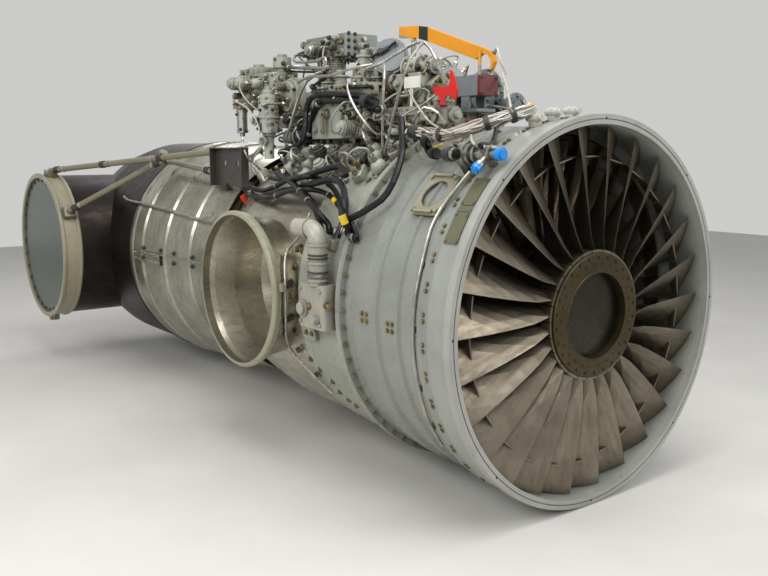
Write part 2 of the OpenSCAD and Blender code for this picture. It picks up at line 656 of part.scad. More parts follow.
// Plenum: a welded sheet chamber with a dished branch to each front outlet.
bowl_r = front_outlet_r - front_ring_w - 1;
bowl_bottom = 332;
x_bowl = front_outlet_x;
rear_neck_r = shield_front_r - 30;
module plenum_body(r, grow) {
  revolved([[0, x_inter + grow], [r, x_inter + grow], [r, x_inter - 330], [r - 34, x_inter - 560],
       [rear_neck_r - plenum_wall + r - plenum_r + plenum_wall, x_plenum - grow], [0, x_plenum - grow]]);
}
neck_r = 244;
module branch(grow, inner_y) {
  outlet_turned(x_bowl, [[0, inner_y], [neck_r - 80 + grow, inner_y], [neck_r - 30 + grow, inner_y + 26],
             [neck_r - 6 + grow, inner_y + 80], [neck_r + grow, inner_y + 160],
               [neck_r + 4 + grow, inner_y + 193],
             [bowl_r - 6 + grow, front_outlet_y - 48], [bowl_r + grow, front_outlet_y - 28],
             [bowl_r + grow, front_outlet_y], [0, front_outlet_y]]);
}
module plenum() {
  color([0.5, 0.46, 0.37]) difference() {
    union() {
      difference() {
        plenum_body(plenum_r, 0);
        plenum_body(plenum_r - plenum_wall, 1);
      }
      for (s = [0, 1]) mirror([0, s, 0]) branch(plenum_wall, bowl_bottom - plenum_wall);
    }
    for (s = [0, 1]) mirror([0, s, 0]) {
      branch(0, bowl_bottom);
      outlet_turned(x_bowl, [[0, front_outlet_y - 1], [bowl_r, front_outlet_y - 1],
        [bowl_r, front_outlet_y + 1], [0, front_outlet_y + 1]]);
      translate([-x_bowl + 130, -(bowl_bottom + 90), 0]) along_axis() cylinder(r = 76, h = 240, $fn = 48);
    }
  }
}

// Band that clamps a nozzle's bearing to a front outlet, with the two lugs of its bolt.
module front_ring() {
  lug = [30, 12, 22];
  color([0.6, 0.6, 0.48]) union() {
    outlet_turned(front_outlet_x, [
      [bowl_r + plenum_wall + seat_gap, front_outlet_y - front_ring_d],
      [front_outlet_r - 3, front_outlet_y - front_ring_d], [front_outlet_r - 3, front_outlet_y - 16],
      [front_outlet_r, front_outlet_y - 15], [front_outlet_r, front_outlet_y - 5],
        [front_outlet_r - 4, front_outlet_y],
      [bowl_r + 2, front_outlet_y + 4], [bowl_r - 1, front_outlet_y + 4], [bowl_r - 1, front_outlet_y + 0.2],
      [bowl_r + plenum_wall + seat_gap, front_outlet_y + 0.2]]);
    for (a = [-8, 188]) translate([-front_outlet_x, 22 - front_outlet_y, 0]) rotate([0, a + 90, 0])
      translate([0, 0, front_outlet_r - 3 + lug[2] / 2]) difference() {
        cube(lug, center = true);
        rotate([0, 90, 0]) cylinder(r = 3, h = lug[0] + 2, center = true, $fn = 20);
      }
  }
}
module front_ring_starboard() { front_ring(); }
module front_ring_port() { to_port() front_ring(); }

// Combustion case: the outer hot casing from the compressor's outlet to the turbine.
module combustion_case() {
  color([0.45, 0.4, 0.34]) revolved([
    [core_bore_r + 10, x_core_rear], [core_bore_r + 33, x_core_rear], [core_bore_r + 33, x_core_rear - 8],
    [hot_bore_r + hot_wall, x_comb - 10], [rear_neck_r - 6, x_comb - 10], [rear_neck_r - 6, x_comb],
    [rear_neck_r + 14, x_comb], [rear_neck_r + 14, shield_front + 0.3],
    [shield_front_r - shield_sheet - seat_gap, shield_front + 0.3],
    [shield_front_r - shield_sheet - seat_gap, shield_front - shield_flange_t],
    [hot_bore_r + hot_wall, shield_front - shield_flange_t], [hot_bore_r + hot_wall, x_turb + 14],
    [hot_bore_r + 22, x_turb + 12], [hot_bore_r + 22, x_turb], [hot_bore_r, x_turb],
      [hot_bore_r, x_comb - 20],
    [core_bore_r + 24, x_core_rear - 14], [core_bore_r + 10, x_core_rear - 14]]);
}

// Annular flame tube with a row of air holes in each wall.
flame_in = 215;
flame_out = 405;
module flame_tube() {
  sheet = 3;
  head = x_comb - 70;
  tail = x_turb + 20;
  color([0.42, 0.36, 0.3]) difference() {
    revolved([[flame_in, head], [flame_out, head], [flame_out, tail], [flame_out - sheet, tail],
         [flame_out - sheet, head - sheet], [flame_in + sheet, head - sheet], [flame_in + sheet, tail],
           [flame_in, tail]]);
    all_round(burners_n, (flame_in + flame_out) / 2, head) along_axis()
      cylinder(r = 16.3, h = 12, center = true, $fn = 24);
    all_round(burners_n, flame_out, (head + tail) / 2, 10) cylinder(r = 9, h = 20, center = true, $fn = 20);
  }
}

// Fuel burners: a head in the flame tube with a stalk to the outer case.
module fuel_burners() {
  mid = (flame_in + flame_out) / 2;
  stalk_x = x_comb - 50;
  color([0.6, 0.55, 0.45]) all_round(burners_n, 0, stalk_x) union() {
    translate([-26, 0, mid]) along_axis() turned([[12, 8], [16, 22], [10, 8]]);
    translate([0, 0, mid]) cylinder(r = 7, h = hot_bore_r - mid - 6, $fn = 20);
    translate([0, 0, hot_bore_r - 12]) cylinder(r = 14, h = 10, $fn = 20);
  }
}

// Turbine case, with the flange that carries the heat shield and the jet pipe.
module turbine_case() {
  rear = x_shield;
  color([0.42, 0.38, 0.35]) revolved([
    [hot_bore_r, x_turb], [hot_bore_r + 22, x_turb], [hot_bore_r + 22, x_turb - 12],
    [hot_bore_r + hot_wall, x_turb - 16], [hot_bore_r + hot_wall, rear + 24],
    [shield_rear_r - shield_sheet - seat_gap, rear + shield_flange_t],
      [shield_rear_r - shield_sheet - seat_gap, rear],
    [hot_bore_r, rear]]);
}
module turbine_vanes() {
  color([0.45, 0.4, 0.36]) for (i = [0:3])
    toothed_ring(turbine_first - i * turbine_pitch - 2, vane_row, turbine_hub_r + 6, hot_bore_r - 0.2, 52, 6);
}

// Exhaust cone behind the turbine, on struts from the turbine case, with the rear bearing's housing.
module exhaust_cone() {
  cone_r = turbine_hub_r - 10;
  cone_front = x_exit - 10;
  cone_end = cone_front - 420;
  color([0.36, 0.33, 0.31]) union() {
    revolved([[cone_r - 5, cone_front], [cone_r, cone_front], [cone_r, cone_front - 90],
      [cone_r * 0.78, cone_front - 220],
         [cone_r * 0.36, cone_end + 40], [0, cone_end], [0, cone_end + 8], [cone_r * 0.33, cone_end + 46],
         [cone_r * 0.75, cone_front - 218], [cone_r - 5, cone_front - 88]]);
    revolved([[bearing_r, cone_front], [bearing_r + 12, cone_front], [cone_r - 3, cone_front - 20],
      [cone_r - 3, cone_front - 34],
         [bearing_r + 12, cone_front - 50], [bearing_r, cone_front - 50]]);
    revolved([[hot_bore_r - 8, cone_front - 6], [hot_bore_r, cone_front - 6], [hot_bore_r, cone_front - 88],
      [hot_bore_r - 8, cone_front - 88]]);
    all_round(8, cone_r - 4, cone_front - 48) vane(70, 16, 0, hot_bore_r - cone_r);
  }
}

// Heat shield: two ribbed half shells bolted together along each side.
shield_ribs = [0.27, 0.545, 0.82];
function shield_r(t) = blend(shield_front_r, shield_rear_r, min(1, t * 1.25));
function shield_x(t) = shield_front - t * shield_len;
function shield_outer() = [
  for (t = [0, 0.1, 0.18]) [shield_r(t), shield_x(t)],
  for (rib = shield_ribs) each [[shield_r(rib - 0.02), shield_x(rib - 0.02)],
    [shield_r(rib) + shield_rib_h, shield_x(rib - 0.006)],
                 [shield_r(rib) + shield_rib_h, shield_x(rib + 0.006)],
                   [shield_r(rib + 0.02), shield_x(rib + 0.02)]],
  [shield_r(0.95), shield_x(0.95)], [shield_r(0.96) + 5, shield_x(0.965)], [shield_r(1) + 5, shield_x(1)]];
function reversed(p) = [for (i = [len(p) - 1:-1:0]) p[i]];
module shield_half() {
  outer = shield_outer();
  seam_drop = 0.4;
  seam_w = 26;
  union() {
    along_axis() rotate([0, 0, 90]) rotate_extrude(angle = 180, $fn = 96)
      polygon(concat(outer, [for (p = reversed(outer)) [p[0] - shield_sheet, p[1]]]));
    for (s = [-1, 1]) translate([shield_x(0.94), s * (shield_rear_r + 4) - (s > 0 ? 6 : 0), seam_drop])
      cube([shield_len * 0.36, 6, seam_w]);
    for (s = [-1, 1]) for (t = [0.62, 0.7, 0.78, 0.86, 0.92])
      translate([shield_x(t), s * (shield_rear_r + 3.5), seam_w * 0.55])
      rotate([-s * 90, 0, 0]) screw_head(6, 6);
  }
}
module heat_shield_upper() { color([0.62, 0.62, 0.58]) translate([0, 0, 0.2]) shield_half(); }
module heat_shield_lower() { color([0.6, 0.6, 0.56]) mirror([0, 0, 1]) translate([0, 0, 0.2]) shield_half(); }

// Jet pipe: a round inlet that divides into a duct to each side.
x_pipe = x_shield;
function pipe_body(r, grow) = [[0, x_pipe + grow], [r, x_pipe + grow], [r, -rear_outlet_x + 130],
  [r - 24, -rear_outlet_x - 40],
               [r - 90, -rear_outlet_x - 200], [r - 210, -rear_outlet_x - 310],
                 [r - 330, -rear_outlet_x - 360 + grow], [0, -rear_outlet_x - 372 + grow]];
module pipe_ducts(grow, end_y) {
  for (s = [0, 1]) mirror([0, s, 0])
    outlet_turned(rear_outlet_x, [[0, 0], [duct_r + grow, 0], [duct_r + grow, end_y], [0, end_y]]);
}
module jet_pipe() {
  color([0.2, 0.18, 0.17]) union() {
    difference() {
      union() {
        revolved(pipe_body(pipe_r, 0));
        revolved([[pipe_r - 2, x_pipe], [pipe_r + 6, x_pipe], [pipe_r + 6, x_pipe - 10],
          [pipe_r - 2, x_pipe - 16]]);
        pipe_ducts(0, rear_outlet_y - rear_ring_d + 8);
      }
      revolved(pipe_body(pipe_r - pipe_wall, 1));
      pipe_ducts(-pipe_wall, rear_outlet_y + 1);
    }
    revolved([[pipe_r - pipe_wall - 14, x_pipe], [pipe_r - 1, x_pipe], [pipe_r - 1, x_pipe - 8],
      [pipe_r - pipe_wall - 14, x_pipe - 8]]);
  }
}

// Rear outlet ring: a deep channel-edged ring with a lug at its foot for the nozzle's drive.
module rear_ring() {
  front = rear_outlet_y;
  back = rear_outlet_y - rear_ring_d;
  color([0.6, 0.57, 0.47]) union() {
    outlet_turned(rear_outlet_x, [
      [duct_r + seat_gap, back], [rear_outlet_r - 4, back], [rear_outlet_r, back + 6],
        [rear_outlet_r, back + 16],
      [rear_outlet_r - 7, back + 20], [rear_outlet_r - 7, front - 14], [rear_outlet_r, front - 10],
        [rear_outlet_r, front],
      [rear_outlet_r - rear_ring_w, front], [rear_outlet_r - rear_ring_w, back + 12],
        [duct_r + seat_gap, back + 12]]);
    translate([-rear_outlet_x - 18, -front + 20, -rear_outlet_r - 26]) difference() {
      cube([36, 46, 38]);
      translate([18, 23, 9]) rotate([0, 90, 0]) cylinder(r = 7, h = 60, center = true, $fn = 24);
    }
  }
}
module rear_ring_starboard() { rear_ring(); }
module rear_ring_port() { to_port() rear_ring(); }

// Blanking plate held in a rear outlet.
module rear_blank() {
  color([0.32, 0.36, 0.33, 0.9]) translate([-rear_outlet_x, -rear_outlet_y + 12 + blank_t, 0])
    rotate([90, 0, 0]) difference() {
    cylinder(r = blank_r, h = blank_t, $fn = 96);
    for (i = [0:blank_bolts_n - 1]) rotate([0, 0, i * 360 / blank_bolts_n])
      translate([blank_r - 12, 0, -1]) cylinder(r = 3.3, h = blank_t + 2, $fn = 16);
  }
}
module rear_blanks() {
  rear_blank();
  to_port() rear_blank();
}
module blank_bolts() {
  color([0.1, 0.1, 0.1]) for (s = [0, 1]) mirror([0, s, 0]) for (i = [0:blank_bolts_n - 1])
    translate([-rear_outlet_x, -rear_outlet_y + 12, 0]) rotate([90, 0, 0])
      rotate([0, 0, i * 360 / blank_bolts_n])
      translate([blank_r - 12, 0, -blank_t]) turned([[3, blank_t], [6, 5]]);
}

// Strut frame: tubes that brace a rear outlet ring to the top of the engine, with their end brackets.
ring_pad_y = -rear_outlet_y + rear_ring_d / 2;
module strut_tube(a, b, r) {
  d = b - a;
  translate(a) rotate([0, acos(d[2] / norm(d)), atan2(d[1], d[0])]) cylinder(r = r, h = norm(d), $fn = 24);
}
function on_ring(angle, lift) = [-rear_outlet_x + (rear_outlet_r + lift) * cos(angle), ring_pad_y,
  (rear_outlet_r + lift) * sin(angle)];
knuckle = [-2325, -404, 458];
plate_rear = x_plenum - 230;
plate_front = x_plenum + 60;
plate_y = -386;
plate_low = 352;
plate_top = 514;
module strut_frame() {
  low = on_ring(30, 22);
  high = on_ring(80, 22);
  fore_low = [plate_rear - 8, plate_y - 14, 410];
  fore_high = [plate_rear - 8, plate_y - 14, 496];
  color([0.5, 0.5, 0.38]) union() {
    strut_tube(low, knuckle, strut_r);
    strut_tube(knuckle, fore_low, strut_r * 0.9);
    strut_tube(high, fore_high, strut_r);
    translate(knuckle + [0, -4, 12]) rotate([0, 30, 0])
      cylinder(r = strut_r * 1.5, h = 60, center = true, $fn = 24);
    for (p = [fore_low, fore_high]) translate(p - [6, 0, 0]) rotate([0, 90, 0])
      cylinder(r = strut_r * 1.2, h = 14 - seat_gap, $fn = 24);
    for (a = [30, 80]) translate([-rear_outlet_x, ring_pad_y, 0]) rotate([0, -a, 0])
      translate([rear_outlet_r - 7 + seat_gap, -26, -30]) cube([28, 52, 60]);
  }
}
module strut_frames() {
  strut_frame();
  to_port() strut_frame();
}

// Support plate: a folded sheet bracket on two feet that takes the struts' front ends.
module support_plate() {
  w = plate_front - plate_rear;
  h = plate_top - plate_low;
  sheet = 5;
  lip = 34;
  color([0.22, 0.2, 0.2]) union() {
    difference() {
      translate([plate_rear, plate_y - sheet, plate_low]) cube([w, sheet, h]);
      for (i = [0, 1]) translate([plate_rear + w * (0.3 + 0.4 * i), plate_y - 3, plate_low + h * 0.6])
        rotate([90, 0, 0]) cylinder(r = 12, h = 12, center = true, $fn = 24);
    }
    for (x = [plate_rear, plate_front - sheet]) translate([x, plate_y - lip, plate_low])
      cube([sheet, lip - 1, h]);
    translate([plate_rear, plate_y - lip, plate_top - sheet]) cube([w, lip - 1, sheet]);
    for (f = [[plate_rear + 90, shield_front_r + 10], [plate_front - 36, rear_neck_r + 17]])
      rotate([47.6, 0, 0]) translate([f[0] - 20, -14, f[1]]) cube([40, 20, 536 - f[1]]);
  }
}
module support_plates() {
  support_plate();
  to_port() support_plate();
}

// Accessory gearbox: the long casting on top of the engine, saddled on the case.
side_y = -gearbox_half_w - 8;
top_z = flange_neck_r + gearbox_h;
deck_gap = 0.01;
module gearbox() {
  floor_z = case_r - 60;
  mid_x = (gearbox_front + gearbox_rear) / 2;
  color([0.6, 0.63, 0.57]) difference() {
    union() {
      translate([mid_x, 0, floor_z]) rounded_block([gearbox_len, 2 * gearbox_half_w, top_z - floor_z], 40);
      for (i = [0:5]) translate([gearbox_front - 70 - i * gearbox_len / 6.2, side_y, case_r + 14])
        cube([10, -2 * side_y, top_z - case_r - 24]);
      translate([mid_x, 0, top_z - 30]) rounded_block([gearbox_len, -2 * side_y, 14], 44);
    }
    along_axis() translate([0, 0, -3000]) cylinder(r = flange_neck_r + seat_gap, h = 3000, $fn = 96);
  }
}

// Fuel pump: a tall stepped body on an arm from the gearbox's side.
pump = [gearbox_rear + 94, -356, top_z - 182];
module fuel_pump() {
  color([0.66, 0.68, 0.62]) union() {
    translate(pump) turned([[20, 90], [27, 12], [40, 58], [45, 10], [40, 60], [35, 22], [24, 18], [12, 12]]);
    translate([pump[0] - 22, pump[1] + 30, top_z - 60]) cube([44, side_y - pump[1] - 30, 40]);
    translate([pump[0] - 30, pump[1] - 30, pump[2] + 150]) rotate([90, 0, 0])
      turned([[15, 14], [19, 8], [10, 12]]);
    translate([pump[0], pump[1], pump[2] + 70]) rotate([90, 0, 20]) turned([[14, 34], [18, 8], [9, 10]]);
  }
}

// Rear housing: the pump casting that overhangs the gearbox's rear edge, ribbed on top.
rear_x = gearbox_rear;
module rear_housing() {
  union() {
    translate([rear_x + 10, -215, top_z + deck_gap]) rounded_block([230, 150, 84], 24);
    translate([rear_x - 160, -215, top_z + 60]) rounded_block([330, 130, 110], 30);
    for (i = [0:4]) translate([rear_x - 300 + i * 46, -272, top_z + 168]) cube([10, 110, 30]);
    translate([rear_x - 230, -215, top_z + 168]) turned([[52, 10], [44, 26], [24, 14]]);
    translate([rear_x - 34, -215, top_z + 168]) turned([[30, 20], [38, 44], [20, 12]]);
    translate([rear_x + 60, -288.5, top_z - 24 + 48]) rotate([90, 0, 0]) turned([[40, 8], [30, 14]]);
  }
}

// Lens housing: a flat oval casting on the gearbox's side in front of the pump.
module lens_housing() {
  translate([gearbox_rear + 146, side_y, top_z + 62]) rotate([90, 0, 0]) union() {
    translate([0, -44, 0]) linear_extrude(30) square([70, 60], center = true);
    for (k = [0:2]) translate([0, 0, 28 + k * 18]) linear_extrude(20) union() {
      square([2 * (60 - k * 9), 32], center = true);
      for (s = [-1, 1]) translate([0, s * 16]) circle(60 - k * 9, $fn = 48);
    }
  }
}

module rear_housings() {
  color([0.63, 0.65, 0.6]) {
    rear_housing();
    lens_housing();
  }
}

// Filter canister on a bracket behind the pump, and a smaller one on the gearbox's side.
module canister(r, h) { turned([[r * 0.5, 14], [r, h * 0.72], [r * 1.12, 8], [r * 0.9, h * 0.2],
  [r * 0.35, 12]]); }
module filter_canisters() {
  color([0.7, 0.7, 0.68]) {
    translate([rear_x - 140, -350, top_z - 90]) union() {
      canister(22, 120);
      translate([-30, -26, 112]) cube([64, 95.7, 40]);
      translate([-20, 20, 112]) cube([44, 50, 56]);
    }
    to_port() translate([pump[0] + 250, -300, top_z - 150]) union() {
      canister(26, 110);
      translate([-16, 0, 66]) cube([32, side_y + 307.7, 26]);
    }
    filter_bowls();
  }
}

// Fuel control unit on the gearbox's side: a box, its cover plate, domed housings and the lever's boss.
fcu = [gearbox_front - 380, side_y - 35, top_z - 105];
fcu_size = [350, 70, 195];
fcu_face = fcu[1] - fcu_size[1] / 2;
lever_x = fcu[0] - 62;
lever_z = fcu[2] + 92;
lever_face = fcu_face - 18;
spindle_l = 34;
module fuel_control() {
  color([0.62, 0.64, 0.58]) difference() {
    union() {
      translate(fcu) rounded_block(fcu_size, 14);
      translate([fcu[0] + 100, fcu_face + 1, fcu[2] + 72]) rotate([90, 0, 0]) linear_extrude(11)
        hull_square([128, 134], 10);
      for (sx = [-1, 1]) for (sz = [-1, 0, 1])
        translate([fcu[0] + 100 + sx * 52, fcu_face - 9.5, fcu[2] + 72 + sz * 55]) rotate([90, 0, 0])
          screw_head(6, 5);
      translate([fcu[0] + 100, fcu_face - 9.5, fcu[2] + 72]) rotate([90, 0, 0]) turned([[16, 8], [10, 8]]);
      translate([fcu[0] - 120, fcu[1], fcu[2] + fcu_size[2] - 2])
        turned([[34, 12], [40, 6], [30, 26], [18, 12], [9, 12]]);
      translate([fcu[0] - 20, fcu[1], fcu[2] + fcu_size[2] - 2]) turned([[22, 30], [28, 6], [16, 20]]);
      translate([fcu[0] + 96, fcu[1], fcu[2] + fcu_size[2] - 2])
        turned([[30, 18], [34, 8], [24, 22], [10, 12]]);
      translate([fcu[0] - 140, fcu_face + 1, fcu[2] + 34]) rotate([90, 0, 0]) turned([[14, 6], [9, 6]]);
      translate([lever_x, fcu_face + 1, lever_z]) rotate([90, 0, 0])
        cylinder(r = spindle_r + 10, h = 19, $fn = 32);
    }
    translate([lever_x, fcu_face + spindle_l - 14, lever_z]) rotate([90, 0, 0])
      cylinder(r = spindle_r + run_gap, h = spindle_l + 10, $fn = 40);
  }
}
// Throttle lever on its spindle: an arm with a clevis hole at its end.
module throttle_lever() {
  arm = 66;
  color([0.5, 0.48, 0.42]) translate([lever_x, lever_face, lever_z]) rotate([90, 0, 0]) union() {
    translate([0, 0, -spindle_l + 4]) cylinder(r = spindle_r, h = spindle_l, $fn = 40);
    translate([0, 0, 0.5]) linear_extrude(7) difference() {
      union() {
        circle(spindle_r + 8, $fn = 32);
        translate([0, -arm]) circle(10, $fn = 32);
        translate([-8, -arm]) square([16, arm]);
      }
      translate([0, -arm]) circle(4, $fn = 24);
    }
    translate([0, 0, 7]) cylinder(r = spindle_r + 3, h = 8, $fn = 6);
  }
}

// Bowls: small turned filter bowls on the shoulder of the case under the fuel control unit.
module filter_bowls() {
  for (p = [[34.5, fcu[0] + 140, 1, 8], [33, fcu[0] + 30, 0.8, 18], [37, fcu[0] + 250, 0.7, 2.7]])
    clock(p[0], flange_neck_r + seat_gap - p[3], p[1])
      turned([[34 * p[2], 10], [22 * p[2], 12], [32 * p[2], 6], [36 * p[2], 22], [30 * p[2], 10],
        [16 * p[2], 8]]);
}

// Starter: a stepped turbine unit lying along the front half of the gearbox.
module starter() {
  pos = [gearbox_front - 30, -100, top_z + 142];
  color([0.6, 0.62, 0.57]) union() {
    translate(pos) rotate([0, -90, 0]) turned([[16, 16], [28, 22], [34, 8], [30, 36], [44, 10], [40, 60],
      [46, 10]]);
    translate([pos[0] - 110, pos[1], top_z + deck_gap]) rounded_block([150, 110, 120], 20);
    translate([pos[0] - 60, pos[1] - 54, top_z + 60]) rotate([90, 0, 0])
      turned([[30, 10], [22, 14], [26, 6], [12, 12]]);
    translate([pos[0] - 140, pos[1] - 54, top_z + 84]) rotate([90, 0, 0])
      turned([[20, 12], [24, 6], [10, 16]]);
  }
}

// Generator: two large grey discs on bodies that lie along the port side of the gearbox.
module generator() {
  color([0.5, 0.52, 0.53]) union() {
    translate([gearbox_front + 55, 60, top_z + 54]) rotate([0, -90, 0])
      turned([[30, 10], [80, 14], [50, 120], [52, 12], [40, 30]]);
    translate([gearbox_front + 106, 150, top_z + 4]) rotate([0, -90, 0])
      turned([[22, 8], [50, 12], [34, 80]]);
    translate([gearbox_front - 70, 60, top_z + deck_gap]) rounded_block([100, 90, 20], 8);
  }
}

// Junction box with a screwed front lid, on a shelf in front of the gearbox.
shelf_z = top_z - 22;
box_pos = [gearbox_front + 126, -82, shelf_z + 52];
module junction_box() {
  body = [118, 80, 66];
  pos = box_pos;
  color([0.5, 0.52, 0.53]) union() {
    translate([gearbox_front, -124, shelf_z]) cube([188, 84, 10]);
    for (sy = [-1, 1]) translate([pos[0] - 20, pos[1] + sy * 34 - 4, shelf_z + 8]) cube([40, 8, 46]);
    translate(pos) rounded_block(body, 6);
  }
}
module box_lid() {
  color([0.3, 0.09, 0.1]) translate([box_pos[0] + 59, box_pos[1], box_pos[2] + 33]) along_axis() union() {
    linear_extrude(14) hull_square([66, 80], 6);
    for (sx = [-1, 1]) for (sy = [-1, 1]) translate([sx * 25, sy * 32, 13]) screw_head(5, 5);
  }
}

// Front valve: a cast body on an arm in front of the gearbox, with a round cap and unions.
module front_valve() {
  pos = [gearbox_front + 92, -190, top_z - 62];
  union() {
    translate(pos) rounded_block([104, 66, 58], 14);
    translate([gearbox_front, -210, top_z - 48]) cube([50, 40, 30]);
    translate([pos[0] - 10, pos[1] - 32, pos[2] + 30]) rotate([90, 0, 0]) turned([[26, 8], [30, 4]]);
    translate([pos[0] + 51, pos[1], pos[2] + 28]) rotate([0, 90, 0]) turned([[20, 12], [24, 8], [12, 14]]);
    translate([pos[0] + 20, pos[1], pos[2] + 57]) turned([[16, 14], [20, 6], [10, 14]]);
    translate([pos[0] - 28, pos[1], pos[2] + 57]) turned([[12, 20], [15, 6], [8, 8]]);
  }
}

// Valve block: a cast manifold with a tall regulator and several unions.
module valve_block() {
  pos = [gearbox_front - 340, -120, top_z];
  union() {
    translate([pos[0], pos[1], pos[2] + deck_gap]) rounded_block([180, 150, 96], 18);
    translate([pos[0] - 66, pos[1] - 30, pos[2] + 94])
      turned([[38, 12], [44, 8], [34, 30], [40, 6], [24, 46], [30, 8], [14, 20]]);
    translate([pos[0] + 10, pos[1] - 20, pos[2] + 94]) turned([[22, 20], [28, 8], [14, 24]]);
    translate([pos[0] + 60, pos[1] - 74, pos[2] + 60]) rotate([90, 0, 0])
      turned([[28, 10], [34, 8], [14, 6]]);
    translate([pos[0] - 30, pos[1] - 74, pos[2] + 50]) rotate([90, 0, 0])
      turned([[20, 10], [13, 12], [17, 6]]);
    translate([pos[0] + 40, pos[1] + 10, pos[2] + 94]) cube([24, 24, 24]);
  }
}

module valve_blocks() {
  color([0.62, 0.64, 0.58]) {
    valve_block();
    front_valve();
  }
}

// Round air control on an arm above the valve block, facing forward and to starboard.
module disc_control() {
  color([0.45, 0.46, 0.46]) union() {
    translate([gearbox_front - 252, -142, top_z + 186]) rotate([78, 0, 38]) translate([0, 0, -74])
      turned([[36, 20], [54, 40], [62, 10], [66, 12], [56, 6]]);
    translate([gearbox_front - 232.5, -90, top_z + deck_gap]) turned([[16, 14], [12, 150]]);
  }
}

// Cover box on four posts over the rear of the gearbox.
module cover_box() {
  pos = [gearbox_rear + 176, -62, top_z + 218];
  size = [286, 156, 84];
  color([0.55, 0.58, 0.52]) union() {
    translate(pos) rounded_block(size, 6);
    for (sx = [-1, 1]) for (sy = [-1, 1])
      translate([pos[0] + sx * 120, pos[1] + 40 + sy * 30, top_z + deck_gap])
        cylinder(r = 9, h = 220, $fn = 20);
    translate([pos[0] + 20, pos[1], pos[2] + size[2] - 1]) rounded_block([90, 60, 10], 6);
  }
}

// Oil tank on the port side of the gearbox's top, with its filler and two straps.
module oil_tank() {
  color([0.58, 0.6, 0.55]) union() {
    translate([gearbox_front - 200, 122, top_z + 86]) rotate([0, -90, 0])
      turned([[40, 8], [74, 8], [80, 480], [74, 8], [40, 8]]);
    for (i = [0:2]) translate([gearbox_front - 260 - i * 180, 122, top_z + deck_gap])
      rounded_block([36, 130, 50], 6);
    translate([gearbox_front - 300, 122, top_z + 160]) turned([[22, 20], [28, 12]]);
  }
}

// Lifting beam: a cranked flat bar on two posts over the accessories, hooked at its front end.
beam_y = -26;
module lifting_beam() {
  z = top_z;
  x = gearbox_front;
  color([0.85, 0.6, 0.08]) union() {
    translate([0, beam_y, 0]) rotate([90, 0, 0]) linear_extrude(16) polygon([
      [x - 330, z + 307], [x - 224, z + 300], [x - 171, z + 291], [x + 130, z + 188], [x + 157, z + 177],
      [x + 175, z + 160], [x + 178, z + 142], [x + 165, z + 118], [x + 156, z + 114], [x + 162, z + 138],
      [x + 158, z + 153], [x + 145, z + 167], [x + 118, z + 173], [x + 89, z + 156], [x - 180, z + 244],
      [x - 234, z + 259], [x - 330, z + 267]]);
    translate([x - 255, beam_y - 6, z + deck_gap]) cylinder(r = 10, h = 266, $fn = 20);
    translate([x + 112, beam_y - 18, box_pos[2] + 66 + deck_gap]) cylinder(r = 6, h = 86, $fn = 20);
  }
}

// Marker plates: a bent red plate and a plain white one, each on a stalk.
module red_plate() {
  union() {
    translate([gearbox_front + 117, -240, top_z - 4 + deck_gap]) cube([38, 28, 4]);
    translate([gearbox_front + 137, -240, top_z - 4 + deck_gap]) cube([16, 5, 40]);
    translate([gearbox_front, -235, top_z]) rotate([90, 0, 0]) linear_extrude(5)
      polygon([[100, 57], [173, 53], [185, 66], [181, 88], [184, 104], [194, 98], [208, 74], [221, 39],
        [217, 21],
               [210, 7], [198, 16], [183, 23], [167, 23], [155, 10], [135, 12], [130, 27], [107, 33]]);
  }
}
module white_plate() {
  union() {
    translate([gearbox_front - 60, -205, top_z + deck_gap]) cube([10, 6, 70]);
    translate([gearbox_front - 88, -209, top_z + 62]) cube([84, 4, 38]);
  }
}
module marker_plates() {
  color([0.8, 0.1, 0.06]) red_plate();
  color([0.8, 0.8, 0.78]) white_plate();
}

// Air valve on the shoulder of the fan case: a sleeve, the round body, unions and two saddles.
valve_angle = 39.9;
valve_lift = max(band_r, waist_r + rib_h + 19) + 40;
valve_x = x_band - 48;
module air_valve() {
  color([0.6, 0.6, 0.54]) clock(valve_angle, 0, 0) union() {
    translate([valve_x - 90, 0, valve_lift]) rotate([0, 90, 0])
      turned([[18, 46], [22, 8], [20, 10], [34, 16], [37, 20], [32, 14], [22, 10], [26, 8], [17, 46],
        [21, 10], [15, 20]]);
    translate([valve_x - 52, -12, waist_r + seat_gap]) cube([30, 24, valve_lift - waist_r - 14]);
    translate([x_band + 18, -9, band_r + seat_gap]) cube([22, 18, valve_lift - band_r - 12]);
    translate([valve_x + 82, 0, valve_lift]) rotate([90, 0, 0]) cylinder(r = 11, h = 46, $fn = 28);
    translate([valve_x + 82, -40, valve_lift]) rotate([90, 0, 0]) cylinder(r = 14, h = 10, $fn = 28);
  }
}
module valve_caps() {
  cap = [[18, 20], [14, 4]];
  color([0.08, 0.45, 0.8]) {
    clock(valve_angle, 0, 0) translate([valve_x + 118 + deck_gap, 0, valve_lift]) rotate([0, 90, 0])
      turned(cap);
    clock(valve_angle, 0, 0) translate([valve_x + 82, -50 - deck_gap, valve_lift]) rotate([90, 0, 0])
      turned([[15, 16], [11, 4]]);
  }
}

